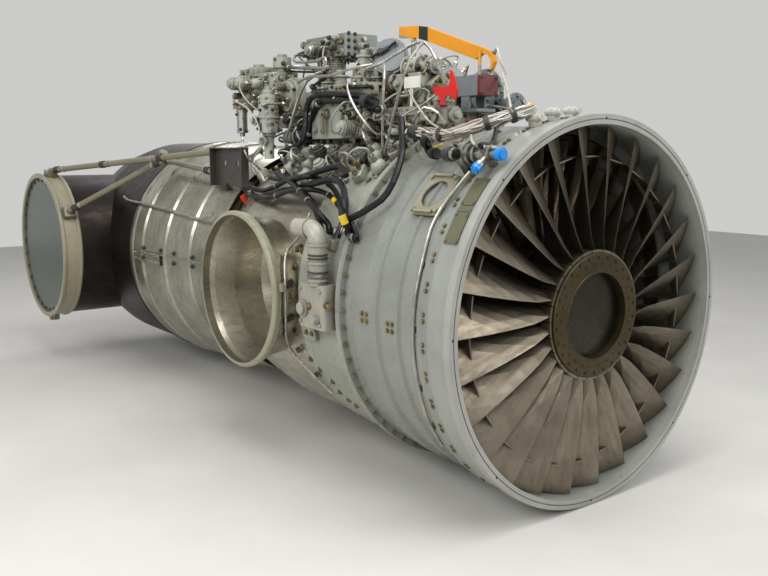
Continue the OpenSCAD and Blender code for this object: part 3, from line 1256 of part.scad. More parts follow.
// Bleed elbow: a thick pipe that turns from the plenum's shoulder down into a cast foot.
elbow_x = x_flange - 85;
elbow_y = -flange_neck_r - 36;
module bleed_elbow() {
  r = 30;
  bend = 46;
  top = 206;
  color([0.72, 0.7, 0.6]) difference() {
    union() {
      translate([elbow_x, elbow_y, 70]) cylinder(r = r, h = top - 70 + 0.5, $fn = 40);
      for (z = [84, 140, top - 8]) translate([elbow_x, elbow_y, z]) cylinder(r = r + 4, h = 8, $fn = 40);
      translate([elbow_x - bend, elbow_y, top]) rotate([90, 0, 0]) rotate_extrude(angle = 90, $fn = 48)
        translate([bend, 0]) circle(r, $fn = 32);
      translate([elbow_x - bend + 4, elbow_y, top + bend]) rotate([0, -90, 0])
        cylinder(r = r + 4, h = 10, $fn = 40);
      translate([elbow_x - bend - 4, elbow_y, top + bend]) rotate([0, -90, 0])
        cylinder(r = r, h = 70, $fn = 40);
      translate([elbow_x - 20, elbow_y + 16, -72]) rounded_block([150, 70, 146], 16);
      translate([elbow_x - 60, elbow_y - 18, -10]) rotate([90, 0, 0]) turned([[28, 8], [20, 10]]);
      translate([elbow_x + 20, elbow_y - 18, -40]) rotate([90, 0, 0]) turned([[16, 8], [11, 12]]);
      for (sx = [-1, 1]) for (sz = [-1, 1])
        translate([elbow_x - 20 + sx * 58, elbow_y - 18.5, sz * 54]) rotate([90, 0, 0]) screw_head(6, 5);
    }
    along_axis() translate([0, 0, -3000]) cylinder(r = flange_neck_r + seat_gap, h = 3000, $fn = 96);
  }
}

// Curved cover plates on the front band, each with a screw in every corner.
module case_plates() {
  color([0.4, 0.4, 0.3]) {
    arc_plate(49.6, 4.5, band_r + 0.05, 3, x_band + 6, band_len - 22);
    arc_plate(60.9, 4.5, band_r + 0.05, 3, x_band + 6, band_len - 22);
    arc_plate(55.25, 0.8, band_r + 0.05, 2, x_band + 4, band_len - 20);
    for (a = [49.6, 60.9]) for (sa = [-3.8, 3.8]) for (x = [x_band + 12, x_ring - 22])
      clock(a + sa, band_r + 2.9, x) cylinder(r = 4, h = 3, $fn = 16);
  }
}

// Groups of four studs on the fan case's waist.
module case_studs() {
  pitch = 22;
  for (g = [[90.5, x_flange + 132, 4.3], [91.7, x_band - 203, 0.3]]) for (sx = [-1, 1]) for (sa = [-1, 1])
    clock(g[0] + sa * asin(pitch / 2 / waist_r), waist_r + g[2], g[1] + sx * pitch / 2)
      turned([[8, 3], [5, 4]]);
}

// Steel pipes: one clipped round the fan case, a drain along the heat shield, two rods and links between
// accessories.
function clock_point(a, r, x) = [x, -r * sin(a), r * cos(a)];
case_pipe_stations = [[44, 15, -24], [50, 15, -34], [56, 12, -52], [62, 4, -66], [70, -9, -71],
  [80, -10, -72],
           [90, -10, -73], [100, -10, -76], [110, -10, -82], [120, -10, -92], [130, -10, -100]];
case_pipe_route = [for (p = case_pipe_stations) clock_point(p[0], case_front_r + p[1], x_band + p[2])];
drain_route = [[-2640, -490, 268], [-2560, -500, 255], [-2400, -508, 250], [-2200, -510, 243],
  [-2000, -510, 232],
       [-1800, -508, 215], [-1700, -500, 215], [-1640, -484, 240]];
steel_routes = [
  [[-690, -308, 488], [-692, -310, 560], [-689, -308, 700], [-706, -292, 764], [-740, -270, 800]],
  [[-668, -322, 486], [-628, -324, 580], [-588, -320, 690], [-596, -270, 800], [-620, -190, 860]],
  [[-1400, -140.9, 900], [-1400, -170, 900], [-1392, -226, 876], [-1340, -250, 848], [-1200, -250, 840],
    [-1137, -252, 848],
  [-1115, -258, 832], [-1115, -258, 807]],
  [[-1290, -330, 560], [-1240, -340, 600], [-1210, -330, 680], [-1150, -320, 760], [-1080, -300, 790]],
  [[-1230, -310, 760], [-1130, -320, 775], [-1010, -310, 770], [-900, -308, 785], [-830, -250, 800]],
  [[-836, -280, 740.7], [-836, -280, 750], [-830, -283, 764], [-800, -296, 780], [-740, -270, 800],
    [-700, -200, 850], [-620, -190, 860],
  [-562, -186, 800], [-542, -166, 722], [-540, -144, 712], [-540, -122.7, 712]],
  [[-600, -250, 560], [-560, -280, 600], [-520, -270, 640], [-470, -250, 620], [-420, -270, 580]]];
// Stays: short legs that carry a pipe or hose on the piece beside it; each runs from the pipe's middle to
// its seat.
module stay(a, seat, r) { strut_tube(a, seat - seat_gap * (seat - a) / norm(seat - a), r); }
pipe_stays = [
  [[-2639.6, -490, 268], [-2639.6, -475.2, 260.7]],
  [[-877, -293.5, 792], [-886.4, -278.4, 786]],
  [[-689.2, -307.6, 494], [-687.9, -297.7, 479]],
  [[-667, -322, 492], [-665.5, -309.1, 472.1]],
  [[-496, -257, 635], [-505.8, -234, 630.7]],
  [[-878.8, -591.5, -107.5], [-885.3, -593.2, -104.8]]];
module steel_pipes() {
  color([0.75, 0.75, 0.72]) {
    swept(case_pipe_route, case_pipe_r, 2);
    swept(drain_route, 7, 2);
    for (i = [0:len(steel_routes) - 1]) swept(steel_routes[i], i < 2 ? 5 : 6.5 - i * 0.2, 2, 6);
    edge_strip();
    for (p = pipe_stays) stay(p[0], p[1], 4.5);
    for (c = [[72, -71], [90, -73], [108, -81], [122, -93]])
      clock(c[0], waist_r + seat_gap, x_band + c[1]) translate([-5, -9, 0]) cube([10, 18, 14]);
  }
}

// Bracket plate with an oval opening, on the shoulder of the fan case.
module oval_bracket() {
  color([0.62, 0.6, 0.52]) clock(50, waist_r + rib_h - 1.5, x_band - 150) union() {
    linear_extrude(5) difference() {
      hull_square([130, 150], 22);
      circle(48, $fn = 48);
    }
    for (s = [-1, 1]) for (q = [-1, 1]) translate([s * 52, q * 60, 4]) cylinder(r = 7, h = 8, $fn = 20);
    for (s = [-1, 1]) translate([-40, s * 66 - 4, 4]) cube([80, 8, 10]);
  }
}

// Edge strip: the wavy bead with its bolts where the plenum's sheet meets the case below the front outlet.
edge_route = [[-842, -508, 290], [-862, -535, 216], [-900, -562, 165], [-878, -590, 118], [-855, -604, 40],
  [-855, -604, -49],
       [-900, -576, -150], [-920, -540, -209], [-896, -512, -255], [-852, -484, -300], [-806, -450, -350]];
module edge_strip() {
  swept(edge_route, 5, 3, 8);
}

// Hoses: rubber hoses clipped over the starboard side of the engine.
hose_routes = [
  [[-1285, -362, 496], [-1169, -346, 522], [-1148, -336, 567], [-1148, -328, 646], [-1127, -322, 692],
    [-1059, -318, 706],
  [-929, -320, 700], [-820, -312, 692], [-789, -292, 684], [-786, -262, 668]],
  [[-566, -330, 605], [-522, -360, 545], [-471, -400, 495], [-440, -445, 432], [-430, -490, 372],
    [-463, -515, 335], [-556, -548, 286], [-586, -540, 297]],
  [[-1414, -424, 368], [-1313, -456, 316], [-1190, -470, 340], [-1020, -480, 361], [-790, -500, 396],
    [-700, -502, 407],
  [-627, -516, 380], [-588, -538, 300], [-596, -564, 226]],
  [[-1169, -424, 432], [-968, -474, 366], [-792, -524, 324], [-690, -560, 236]],
  [[-1300, -400, 400], [-1180, -440, 396], [-1000, -470, 400], [-820, -490, 430], [-700, -480, 450],
    [-650, -490, 420]]];
module hoses() {
  color([0.1, 0.1, 0.11]) {
    for (route = hose_routes) swept(route, hose_r, 2);
    stay([-837.4, -312, 693.7], [-839.2, -303, 683.8], 6);
  }
}

// Wiring loom along the fan case's shoulder, with its plugs.
loom_route = [[-500, -330, 560], [-420, -352, 556], [-327, -346, 550], [-239, -312, 570], [-182, -266, 592],
  [-150, -228, 606], [-132, -170, 626]];
module loom_plugs() {
  for (p = [[0, -4], [360 / 44, 0], [720 / 44, 4]])
    clock(p[0], case_front_r + seat_gap, x_band - 24 + p[1]) union() {
      translate([-14, -14, 0]) cube([28, 28, 14]);
      translate([-26, 0, 24]) rotate([0, 90, 0]) turned([[11, 18], [15, 8], [13, 22], [9, 10]]);
      translate([-10, -8, 12]) cube([20, 16, 8]);
    }
}
module wiring_loom() {
  color([0.75, 0.75, 0.7]) {
    swept(loom_route, loom_r, 3);
    loom_plugs();
  }
}

intake_ring();
front_case();
fan_case();
case_screws();
flange_bolts();
fan_hub();
fan_blades();
blade_lock_ring();
hub_cover();
lp_rotor();
lp_stators();
intermediate_case();
bearings();
lp_shaft();
lp_turbine();
core_rotor();
core_case();
core_stators();
plenum();
front_ring_starboard();
front_ring_port();
combustion_case();
flame_tube();
fuel_burners();
turbine_case();
turbine_vanes();
exhaust_cone();
heat_shield_upper();
heat_shield_lower();
jet_pipe();
rear_ring_starboard();
rear_ring_port();
rear_blanks();
blank_bolts();
strut_frames();
support_plates();
gearbox();
fuel_pump();
rear_housings();
filter_canisters();
fuel_control();
throttle_lever();
starter();
generator();
junction_box();
box_lid();
valve_blocks();
disc_control();
cover_box();
oil_tank();
lifting_beam();
marker_plates();
air_valve();
valve_caps();
bleed_elbow();
case_plates();
steel_pipes();
oval_bracket();
hoses();
wiring_loom();
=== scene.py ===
"""Looks for the vectored-thrust turbofan: materials, small fittings, floor, light and camera, in metres."""

import json
import math
import random
from typing import NamedTuple

import bpy
from mathutils import Matrix, Vector
from mathutils.bvhtree import BVHTree


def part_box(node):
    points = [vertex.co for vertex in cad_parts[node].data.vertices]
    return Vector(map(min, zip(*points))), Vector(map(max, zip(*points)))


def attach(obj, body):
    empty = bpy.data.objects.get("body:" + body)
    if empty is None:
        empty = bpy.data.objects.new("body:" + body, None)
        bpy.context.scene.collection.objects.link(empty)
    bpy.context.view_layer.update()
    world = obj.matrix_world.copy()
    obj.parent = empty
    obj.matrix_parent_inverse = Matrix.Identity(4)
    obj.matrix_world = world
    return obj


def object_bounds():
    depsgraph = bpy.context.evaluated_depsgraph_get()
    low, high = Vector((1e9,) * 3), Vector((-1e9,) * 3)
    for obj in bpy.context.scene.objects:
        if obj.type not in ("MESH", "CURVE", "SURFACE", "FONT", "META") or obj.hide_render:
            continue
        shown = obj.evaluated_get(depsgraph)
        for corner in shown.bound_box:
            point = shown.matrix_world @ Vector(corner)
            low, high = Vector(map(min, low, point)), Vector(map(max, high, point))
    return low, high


SEED = 7

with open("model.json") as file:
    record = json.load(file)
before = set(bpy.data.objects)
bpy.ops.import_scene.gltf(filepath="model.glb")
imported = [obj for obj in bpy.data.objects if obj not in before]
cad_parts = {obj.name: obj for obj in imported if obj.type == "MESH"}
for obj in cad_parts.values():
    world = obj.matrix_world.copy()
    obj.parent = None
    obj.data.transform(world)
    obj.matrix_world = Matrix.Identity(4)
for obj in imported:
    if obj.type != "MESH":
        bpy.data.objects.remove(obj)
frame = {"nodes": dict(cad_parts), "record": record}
cad_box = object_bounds()
scene = bpy.context.scene
nodes = frame["nodes"]
rng = random.Random(SEED)


# Camera at the photograph's viewing angle
PHOTO_WIDTH = 768
PHOTO_HEIGHT = 576
SENSOR_WIDTH = 36
CAMERA_AZIMUTH = math.radians(52.8296)
CAMERA_ELEVATION = math.radians(9.0074)
CAMERA_ROLL = math.radians(0.0777)
CAMERA_PLACE = Vector((1.6712, -2.0946, 0.4978))
FOCAL_PIXELS = 860.46


def add_camera():
    data = bpy.data.cameras.new("camera")
    data.sensor_width = SENSOR_WIDTH
    data.lens = FOCAL_PIXELS * SENSOR_WIDTH / PHOTO_WIDTH
    data.clip_start = 0.05
    data.clip_end = 60
    camera = bpy.data.objects.new("camera", data)
    scene.collection.objects.link(camera)
    a, e, r = CAMERA_AZIMUTH, CAMERA_ELEVATION, CAMERA_ROLL
    forward = Vector((-math.sin(a) * math.cos(e), math.cos(a) * math.cos(e), -math.sin(e)))
    right = Vector((math.cos(a), math.sin(a), 0))
    up = right.cross(forward)
    side = right * math.cos(r) + up * math.sin(r)
    top = up * math.cos(r) - right * math.sin(r)
    place = Matrix((side, top, -forward)).transposed().to_4x4()
    place.translation = CAMERA_PLACE
    camera.matrix_world = place
    scene.camera = camera


add_camera()


# Procedural materials
MIX_FACTOR, MIX_A, MIX_B, MIX_RESULT = 0, 6, 7, 2  # sockets of the Mix node where it mixes colours


def rgb(r, g, b):
    """An sRGB colour in 0-255 as the linear values that a shader takes."""

    def channel(v):
        v = v / 255
        return v / 12.92 if v <= 0.04045 else ((v + 0.055) / 1.055) ** 2.4

    return (channel(r), channel(g), channel(b), 1)


def shaded(colour, factor, add=0.0):
    """The same colour, darker or paler."""
    return tuple(c * factor + add for c in colour[:3]) + (1,)


def new_node(tree, kind, output, inputs, **settings):
    """One output of a new node. Each input is a plain value or another node's output."""
    node = tree.nodes.new(kind)
    for key, value in settings.items():
        setattr(node, key, value)
    for name, value in inputs.items():
        if hasattr(value, "is_output"):
            tree.links.new(value, node.inputs[name])
        else:
            node.inputs[name].default_value = value
    return node.outputs[output]


class Surface:
    """One material, built up from small parts."""

    def __init__(self, name, metallic=0.0, roughness=0.5, coat=0.0):
        self.material = bpy.data.materials.new(name)
        self.material.use_nodes = True
        self.tree = self.material.node_tree
        self.shader = self.tree.nodes["Principled BSDF"]
        self.shader.inputs["Metallic"].default_value = metallic
        self.shader.inputs["Roughness"].default_value = roughness
        self.shader.inputs["Coat Weight"].default_value = coat
        self.shader.inputs["Coat Roughness"].default_value = 0.12
        self.place = self.made("ShaderNodeTexCoord", "Object", {})
        self.normal = None

    def made(self, kind, output, inputs, **settings):
        return new_node(self.tree, kind, output, inputs, **settings)

    def maths(self, operation, a, b):
        return self.made("ShaderNodeMath", "Value", {0: a, 1: b}, operation=operation)

    def mix(self, factor, a, b):
        inputs = {MIX_FACTOR: factor, MIX_A: a, MIX_B: b}
        return self.made("ShaderNodeMix", MIX_RESULT, inputs, data_type="RGBA")

    def noise(self, scale, detail=4.0, rough=0.55, stretch=(1, 1, 1), distortion=0.0):
        place = self.made("ShaderNodeMapping", "Vector", {"Vector": self.place, "Scale": stretch})
        return self.made("ShaderNodeTexNoise", "Fac", {"Vector": place, "Scale": scale, "Detail": detail,
                                                       "Roughness": rough, "Distortion": distortion})

    def ramp(self, source, stops):
        """Colour that runs from the first stop's to the second's as the source rises."""
        colour = self.made("ShaderNodeValToRGB", "Color", {"Fac": source})
        for element, (at, value) in zip(colour.node.color_ramp.elements, stops):
            element.position = at
            element.color = value
        return colour

    def level(self, source, low, high, to_low=0.0, to_high=1.0):
        """The source, stretched from one span to another and held at its ends."""
        inputs = {"Value": source, "From Min": low, "From Max": high, "To Min": to_low, "To Max": to_high}
        return self.made("ShaderNodeMapRange", "Result", inputs)

    def feed(self, socket, source):
        self.tree.links.new(source, self.shader.inputs[socket])

    def colour(self, source):
        self.feed("Base Color", source)

    def base(self):
        """The output that feeds the base colour so far."""
        return self.shader.inputs["Base Color"].links[0].from_socket

    def roughness(self, source):
        self.feed("Roughness", source)

    def soft_edges(self, radius):
        """Rounds the look of sharp corners, so that they catch the light."""
        self.normal = self.made("ShaderNodeBevel", "Normal", {"Radius": radius}, samples=4)
        self.feed("Normal", self.normal)

    def bump(self, source, strength, distance):
        inputs = {"Height": source, "Strength": strength, "Distance": distance}
        if self.normal is not None:
            inputs["Normal"] = self.normal
        self.normal = self.made("ShaderNodeBump", "Normal", inputs)
        self.feed("Normal", self.normal)

    def painted_corner_shade(self, base, colour, amount, reach=0.035):
        """Painted shade: a darker colour in corners and under neighbouring parts, where ambient occlusion
        finds them closed in.
        """
        openness = self.made("ShaderNodeAmbientOcclusion", "AO", {"Distance": reach}, samples=4)
        return self.mix(self.level(openness, 0.25, 0.85, amount, 0), base, colour)


# Grime, specks, tarnish, lines and marks are colours of the surfaces themselves; the corner colours are
# painted shade, mixed in where corners and neighbouring parts close a surface in.
PAINT_GRIME = rgb(84, 70, 48)
PAINT_SPECKS = rgb(40, 36, 30)
PAINT_CORNER_SHADE = rgb(50, 42, 28)
METAL_TARNISH = rgb(38, 32, 26)
METAL_LINES = rgb(20, 18, 16)
METAL_CORNER_SHADE = rgb(30, 25, 18)
SHEET_MARKS = rgb(60, 50, 38)
SHEET_CORNER_SHADE = rgb(44, 37, 26)
POLISHED_CORNER_SHADE = rgb(34, 28, 20)
WORN_METAL = 0.92  # metallic value of metal with a thin film of dirt


def painted(name, colour, shade=0.82, roughness=0.42, dirt_and_shade=0.25, edge=0.0015, coat=0.05, corners=None):
    """Satin paint on metal: slow colour drift, fine orange peel, grime in cloudy patches, and painted shade
    in corners.
    """
    # Unless given, how dark the painted shade in corners gets follows the dirt setting, which also sets the
    # grime.
    if corners is None:
        corners = min(0.95, 2 * dirt_and_shade)
    s = Surface(name, roughness=roughness, coat=coat)
    s.soft_edges(edge)
    base = s.ramp(s.noise(5, 5, 0.6), [(0.35, shaded(colour, shade)), (0.62, colour)])
    patches = s.level(s.noise(17, 8, 0.72, distortion=0.6), 0.56, 0.78, 0, dirt_and_shade)
    base = s.mix(patches, base, PAINT_GRIME)
    specks = s.level(s.noise(160, 3, 0.7), 0.68, 0.76, 0, 0.45 * dirt_and_shade)
    base = s.mix(specks, base, PAINT_SPECKS)
    # Painted shade in corners and under neighbouring parts.
    s.colour(s.painted_corner_shade(base, PAINT_CORNER_SHADE, corners))
    s.roughness(s.level(s.noise(40, 6, 0.65), 0.3, 0.75, roughness - 0.1, roughness + 0.14))
    s.bump(s.noise(420, 2, 0.5), 0.12, 0.0004)
    return s


def metal(name, colour, roughness=0.35, grain=(1, 1, 1), tint=None, dirt_and_shade=0.3):
    """Worked metal: fine lines, stretched where a grain is given, cloudy tarnish and dull patches."""
    s = Surface(name, metallic=WORN_METAL, roughness=roughness)
    s.soft_edges(0.001)
    base = s.ramp(s.noise(9, 6, 0.65, distortion=0.4), [(0.3, shaded(colour, 0.7)), (0.66, colour)])
    if tint is not None:
        base = s.mix(s.level(s.noise(4, 5, 0.6), 0.45, 0.68, 0, 0.7), base, tint)
    base = s.mix(s.level(s.noise(26, 8, 0.75), 0.58, 0.8, 0, dirt_and_shade), base, METAL_TARNISH)
    lines = s.noise(90, 4, 0.6, stretch=grain)
    base = s.mix(s.level(lines, 0.4, 0.7, 0, 0.22), base, METAL_LINES)
    # Painted shade in corners and under neighbouring parts; its strength follows the dirt setting, which also
    # sets the tarnish.
    s.colour(s.painted_corner_shade(base, METAL_CORNER_SHADE, min(0.85, 2 * dirt_and_shade)))
    s.roughness(s.level(lines, 0.25, 0.75, roughness - 0.12, roughness + 0.16))
    s.bump(lines, 0.16, 0.0003)
    return s


def sheet_steel(name, colour, dull, grain, roughness=0.3, wave=0.25):
    """Rolled sheet: broad cloudy heat stains, brushed streaks along one direction and few dark marks."""
    s = Surface(name, metallic=WORN_METAL, roughness=roughness)
    s.soft_edges(0.001)
    base = s.ramp(s.noise(3.5, 6, 0.62, distortion=0.5), [(0.36, dull), (0.64, colour)])
    streaks = s.noise(34, 5, 0.6, stretch=grain)
    base = s.mix(s.level(streaks, 0.42, 0.72, 0, 0.4), base, shaded(dull, 0.5))
    base = s.mix(s.level(s.noise(70, 4, 0.7), 0.7, 0.78, 0, 0.35), base, SHEET_MARKS)
    # Painted shade in corners and under neighbouring parts.
    s.colour(s.painted_corner_shade(base, SHEET_CORNER_SHADE, 0.6, reach=0.03))
    s.roughness(s.level(streaks, 0.3, 0.7, roughness - 0.1, roughness + 0.12))
    s.bump(s.noise(6, 3, 0.5), wave, 0.004)
    s.bump(streaks, 0.08, 0.0003)
    return s


def polished(name, colour, roughness=0.3):
    """Small bright metal: no grain, only slow tarnish and painted shade in corners."""
    s = Surface(name, metallic=0.85, roughness=roughness)
    base = s.ramp(s.noise(16, 4, 0.6), [(0.35, shaded(colour, 0.6)), (0.65, colour)])
    # Painted shade in corners and under neighbouring parts.
    s.colour(s.painted_corner_shade(base, POLISHED_CORNER_SHADE, 0.7, reach=0.02))
    s.roughness(s.level(s.noise(60, 4, 0.6), 0.3, 0.7, roughness - 0.08, roughness + 0.14))
    s.bump(s.noise(260, 2, 0.5), 0.06, 0.0002)
    return s


def rubber(name, colour, roughness=0.38):
    """Dull black rubber with paler scuffs."""
    s = Surface(name, roughness=roughness)
    s.shader.inputs["Specular IOR Level"].default_value = 0.35
    s.colour(s.ramp(s.noise(30, 6, 0.7), [(0.45, colour), (0.8, shaded(colour, 1.5, 0.002))]))
    s.roughness(s.level(s.noise(60, 4, 0.6), 0.3, 0.7, roughness - 0.12, roughness + 0.12))
    s.bump(s.noise(600, 2, 0.5), 0.15, 0.0003)
    return s


def plastic(name, colour, roughness=0.28):
    """Moulded plastic or a woven sleeve: slow colour drift under a thin gloss."""
    s = Surface(name, roughness=roughness, coat=0.2)
    s.soft_edges(0.001)
    s.colour(s.ramp(s.noise(14, 4, 0.5), [(0.35, shaded(colour, 0.8)), (0.65, colour)]))
    s.bump(s.noise(300, 2, 0.5), 0.05, 0.0002)
    return s


def dress(surface, *names):
    """Gives one material to whole CAD nodes."""
    for name in names:
        slots = nodes[name].data.materials
        if not slots:
            slots.append(surface.material)
        for i in range(len(slots)):
            slots[i] = surface.material


# Colour that changes with the place on a part
def by_place(s, test, inside, outside):
    """One colour where a test on the place comes out above zero, and another elsewhere."""
    return s.mix(s.maths("GREATER_THAN", test, 0), outside, inside)


def linear(s, x, y, z, add):
    """x, y and z times the place's coordinates, plus a number."""
    product = s.made("ShaderNodeVectorMath", "Value", {0: s.place, 1: (x, y, z)}, operation="DOT_PRODUCT")
    return s.maths("ADD", product, add)


def marked(name, colour, other, *tests):
    """Paint in one colour, and in another where all the tests on the place are above zero."""
    s = painted(name, colour, dirt_and_shade=0.15, roughness=0.36)
    base = s.base()
    test = linear(s, *tests[0])
    for t in tests[1:]:
        test = s.maths("MINIMUM", test, linear(s, *t))
    s.colour(by_place(s, test, other, base))
    return s


# Materials of the CAD nodes
BAND_REAR, BAND_FRONT = -0.829, -0.778  # the lifting beam's black band, along x
BEAM_SLOPE = 0.327  # fall of the lifting beam towards the front
MARKER_SPLIT = -0.2105  # the marker plates are white above this y and red below it

# Here dirt sets both the grime and the painted shade in corners, and corners sets the painted shade in
# corners alone.
dress(painted("ring_grey", rgb(160, 160, 154), dirt_and_shade=0.3, roughness=0.34), "intake_ring")
dress(painted("band_grey", rgb(150, 154, 146), dirt_and_shade=0.3, roughness=0.36), "front_case")
dress(painted("case_grey", rgb(138, 141, 134), dirt_and_shade=0.22, roughness=0.3, coat=0.15, corners=0.12), "fan_case")
dress(painted("casing_grey", rgb(152, 156, 142), dirt_and_shade=0.4, roughness=0.32, coat=0.15, corners=0.5),
      "intermediate_case")
dress(polished("plated_screws", rgb(176, 160, 122), roughness=0.36), "case_screws", "flange_bolts")
dress(metal("hub_metal", rgb(84, 75, 54), roughness=0.4, dirt_and_shade=0.3), "fan_hub", "blade_lock_ring")
dress(sheet_steel("blade_metal", rgb(142, 134, 118), rgb(112, 103, 89), (3, 0.25, 0.25), 0.4, wave=0.04),
      "fan_blades")
dress(metal("cover_metal", rgb(66, 64, 56), roughness=0.28, dirt_and_shade=0.2), "hub_cover")
dress(metal("vane_metal", rgb(146, 130, 112), roughness=0.42, dirt_and_shade=0.25), "lp_stators", "lp_rotor")
dress(metal("inner_metal", rgb(150, 140, 128), roughness=0.4),
      "lp_shaft", "core_rotor", "core_stators", "bearings", "fuel_burners")
dress(metal("hot_metal", rgb(78, 70, 60), roughness=0.48, tint=rgb(60, 50, 40), dirt_and_shade=0.5),
      "combustion_case", "turbine_case", "core_case", "flame_tube", "turbine_vanes", "lp_turbine",
      "exhaust_cone")
dress(sheet_steel("duct_steel", rgb(204, 200, 186), rgb(166, 160, 142), (0.25, 0.5, 1.6)), "plenum")
dress(painted("outlet_band", rgb(150, 147, 124), dirt_and_shade=0.4, roughness=0.3),
      "front_ring_starboard", "front_ring_port")
dress(sheet_steel("shield_sheet", rgb(190, 190, 176), rgb(140, 138, 122), (2.2, 0.5, 0.5), roughness=0.3),
      "heat_shield_upper", "heat_shield_lower")
dress(sheet_steel("black_duct", rgb(62, 56, 52), rgb(38, 35, 36), (2.2, 0.5, 0.5), 0.38), "jet_pipe")
dress(painted("rear_beige", rgb(156, 148, 124), dirt_and_shade=0.45), "rear_ring_starboard", "rear_ring_port")
dress(plastic("blank_sheet", rgb(60, 72, 62), roughness=0.3), "rear_blanks")
dress(plastic("black_bolt", rgb(22, 22, 22), roughness=0.4), "blank_bolts")
dress(painted("strut_olive", rgb(122, 117, 93), dirt_and_shade=0.35, roughness=0.3, coat=0.2), "strut_frames")
dress(painted("plate_dark", rgb(58, 54, 50), dirt_and_shade=0.35), "support_plates")
dress(painted("cast_grey", rgb(160, 162, 149), shade=0.76, roughness=0.38, dirt_and_shade=0.75, edge=0.003, coat=0.1),
      "gearbox", "rear_housings", "fuel_control", "valve_blocks")
dress(painted("cast_pale", rgb(172, 175, 166), shade=0.8, roughness=0.34, dirt_and_shade=0.6, edge=0.003, coat=0.2),
      "fuel_pump", "starter", "oil_tank")
dress(painted("cover_grey", rgb(128, 133, 124), dirt_and_shade=0.4, roughness=0.4), "cover_box")
dress(metal("satin_alloy", rgb(178, 178, 170), roughness=0.36, dirt_and_shade=0.35), "filter_canisters", "air_valve")
dress(metal("lever_metal", rgb(168, 158, 138), roughness=0.35), "throttle_lever")
dress(painted("mid_grey", rgb(116, 122, 124), dirt_and_shade=0.4), "generator", "junction_box", "disc_control")
dress(painted("maroon", rgb(98, 34, 38), dirt_and_shade=0.2), "box_lid")
beam = marked("beam_orange", rgb(230, 152, 18), rgb(22, 26, 22),
              (1, 0, 0, -BAND_REAR), (-1, 0, 0, BAND_FRONT), (BEAM_SLOPE, 0, 1, -0.62))
below_beam = linear(beam, -BEAM_SLOPE, 0, -1, 0.622)
beam.colour(by_place(beam, below_beam, rgb(140, 142, 134), beam.base()))
dress(beam, "lifting_beam")
dress(marked("marker_red", rgb(208, 26, 18), rgb(226, 224, 214), (0, 1, 0, -MARKER_SPLIT)), "marker_plates")
dress(plastic("cap_blue", rgb(22, 132, 214)), "valve_caps")
dress(painted("elbow_grey", rgb(162, 159, 146), dirt_and_shade=0.4, roughness=0.3, coat=0.15), "bleed_elbow")
dress(painted("plate_olive", rgb(98, 98, 74), dirt_and_shade=0.3), "case_plates")
dress(polished("bright_pipe", rgb(180, 178, 166)), "steel_pipes")
dress(painted("bracket_primer", rgb(150, 144, 122), dirt_and_shade=0.4), "oval_bracket")
dress(rubber("hose_rubber", rgb(11, 11, 13)), "hoses")
dress(plastic("loom_sleeve", rgb(190, 190, 180), roughness=0.5), "wiring_loom")


# Rays onto the solids
STATIC = frame["record"]["behaviour"]["bodies"]["engine_frame"]
CASTINGS = ["gearbox", "fuel_pump", "rear_housings", "fuel_control", "starter", "valve_blocks", "generator",
            "oil_tank", "cover_box"]


class Solids:
    """The given CAD nodes as one tree of faces that rays can hit."""

    def __init__(self, names):
        points, faces, self.owner = [], [], []
        for name in names:
            mesh = nodes[name].data
            base = len(points)
            points += [v.co.copy() for v in mesh.vertices]
            for p in mesh.polygons:
                faces.append([base + i for i in p.vertices])
                self.owner.append(name)
        self.tree = BVHTree.FromPolygons(points, faces)

    def hit(self, start, way, reach=10.0):
        """Point, outward normal and node of the first face that a ray meets."""
        place, normal, index, _ = self.tree.ray_cast(start, way, reach)
        if place is None:
            return None
        if normal.dot(way) > 0:
            normal = -normal
        return place, normal, self.owner[index]

    def room(self, point):
        """Distance to the nearest face, below zero inside a solid."""
        place, normal, _, far = self.tree.find_nearest(point)
        return far if (point - place).dot(normal) >= 0 else -far


def pixel_ray(px, py):
    """Start and direction of the camera's ray through a pixel of the photograph."""
    look = scene.camera.matrix_world.to_3x3()
    way = look @ Vector(((px - PHOTO_WIDTH / 2) / FOCAL_PIXELS, -(py - PHOTO_HEIGHT / 2) / FOCAL_PIXELS, -1))
    return CAMERA_PLACE.copy(), way.normalized()


everything = Solids(STATIC)


def seen(px, py):
    """What the camera sees at a pixel of the photograph: point, normal and node."""
    return everything.hit(*pixel_ray(px, py))


# Building small shapes
def facing(place, normal, spin=0.0):
    """Matrix that stands a shape's z axis on a surface."""
    turn = normal.to_track_quat("Z", "Y").to_matrix().to_4x4()
    return Matrix.Translation(place) @ turn @ Matrix.Rotation(spin, 4, "Z")


def curve_through(points, steps=6):
    """Smooth curve through points, as a list of vectors."""
    p = [Vector(q) for q in points]
    made = []
    for i in range(len(p) - 1):
        a, b = p[i], p[i + 1]
        before = p[i - 1] if i else a * 2 - b
        after = p[i + 2] if i + 2 < len(p) else b * 2 - a
        for s in range(steps):
            t = s / steps
            made.append(0.5 * (2 * a + (b - before) * t + (2 * before - 5 * a + 4 * b - after) * t * t
                               + (3 * a - before - 3 * b + after) * t ** 3))
    return made + [p[-1]]


def ring_faces(rings, sides):
    """Faces between rings of points, with both ends closed."""
    faces = []
    for i in range(rings - 1):
        for k in range(sides):
            n = (k + 1) % sides
            faces.append((i * sides + k, i * sides + n, (i + 1) * sides + n, (i + 1) * sides + k))
    faces.append(tuple(range(sides - 1, -1, -1)))
    faces.append(tuple(range((rings - 1) * sides, rings * sides)))
    return faces


SHARP_EDGE = math.radians(32)


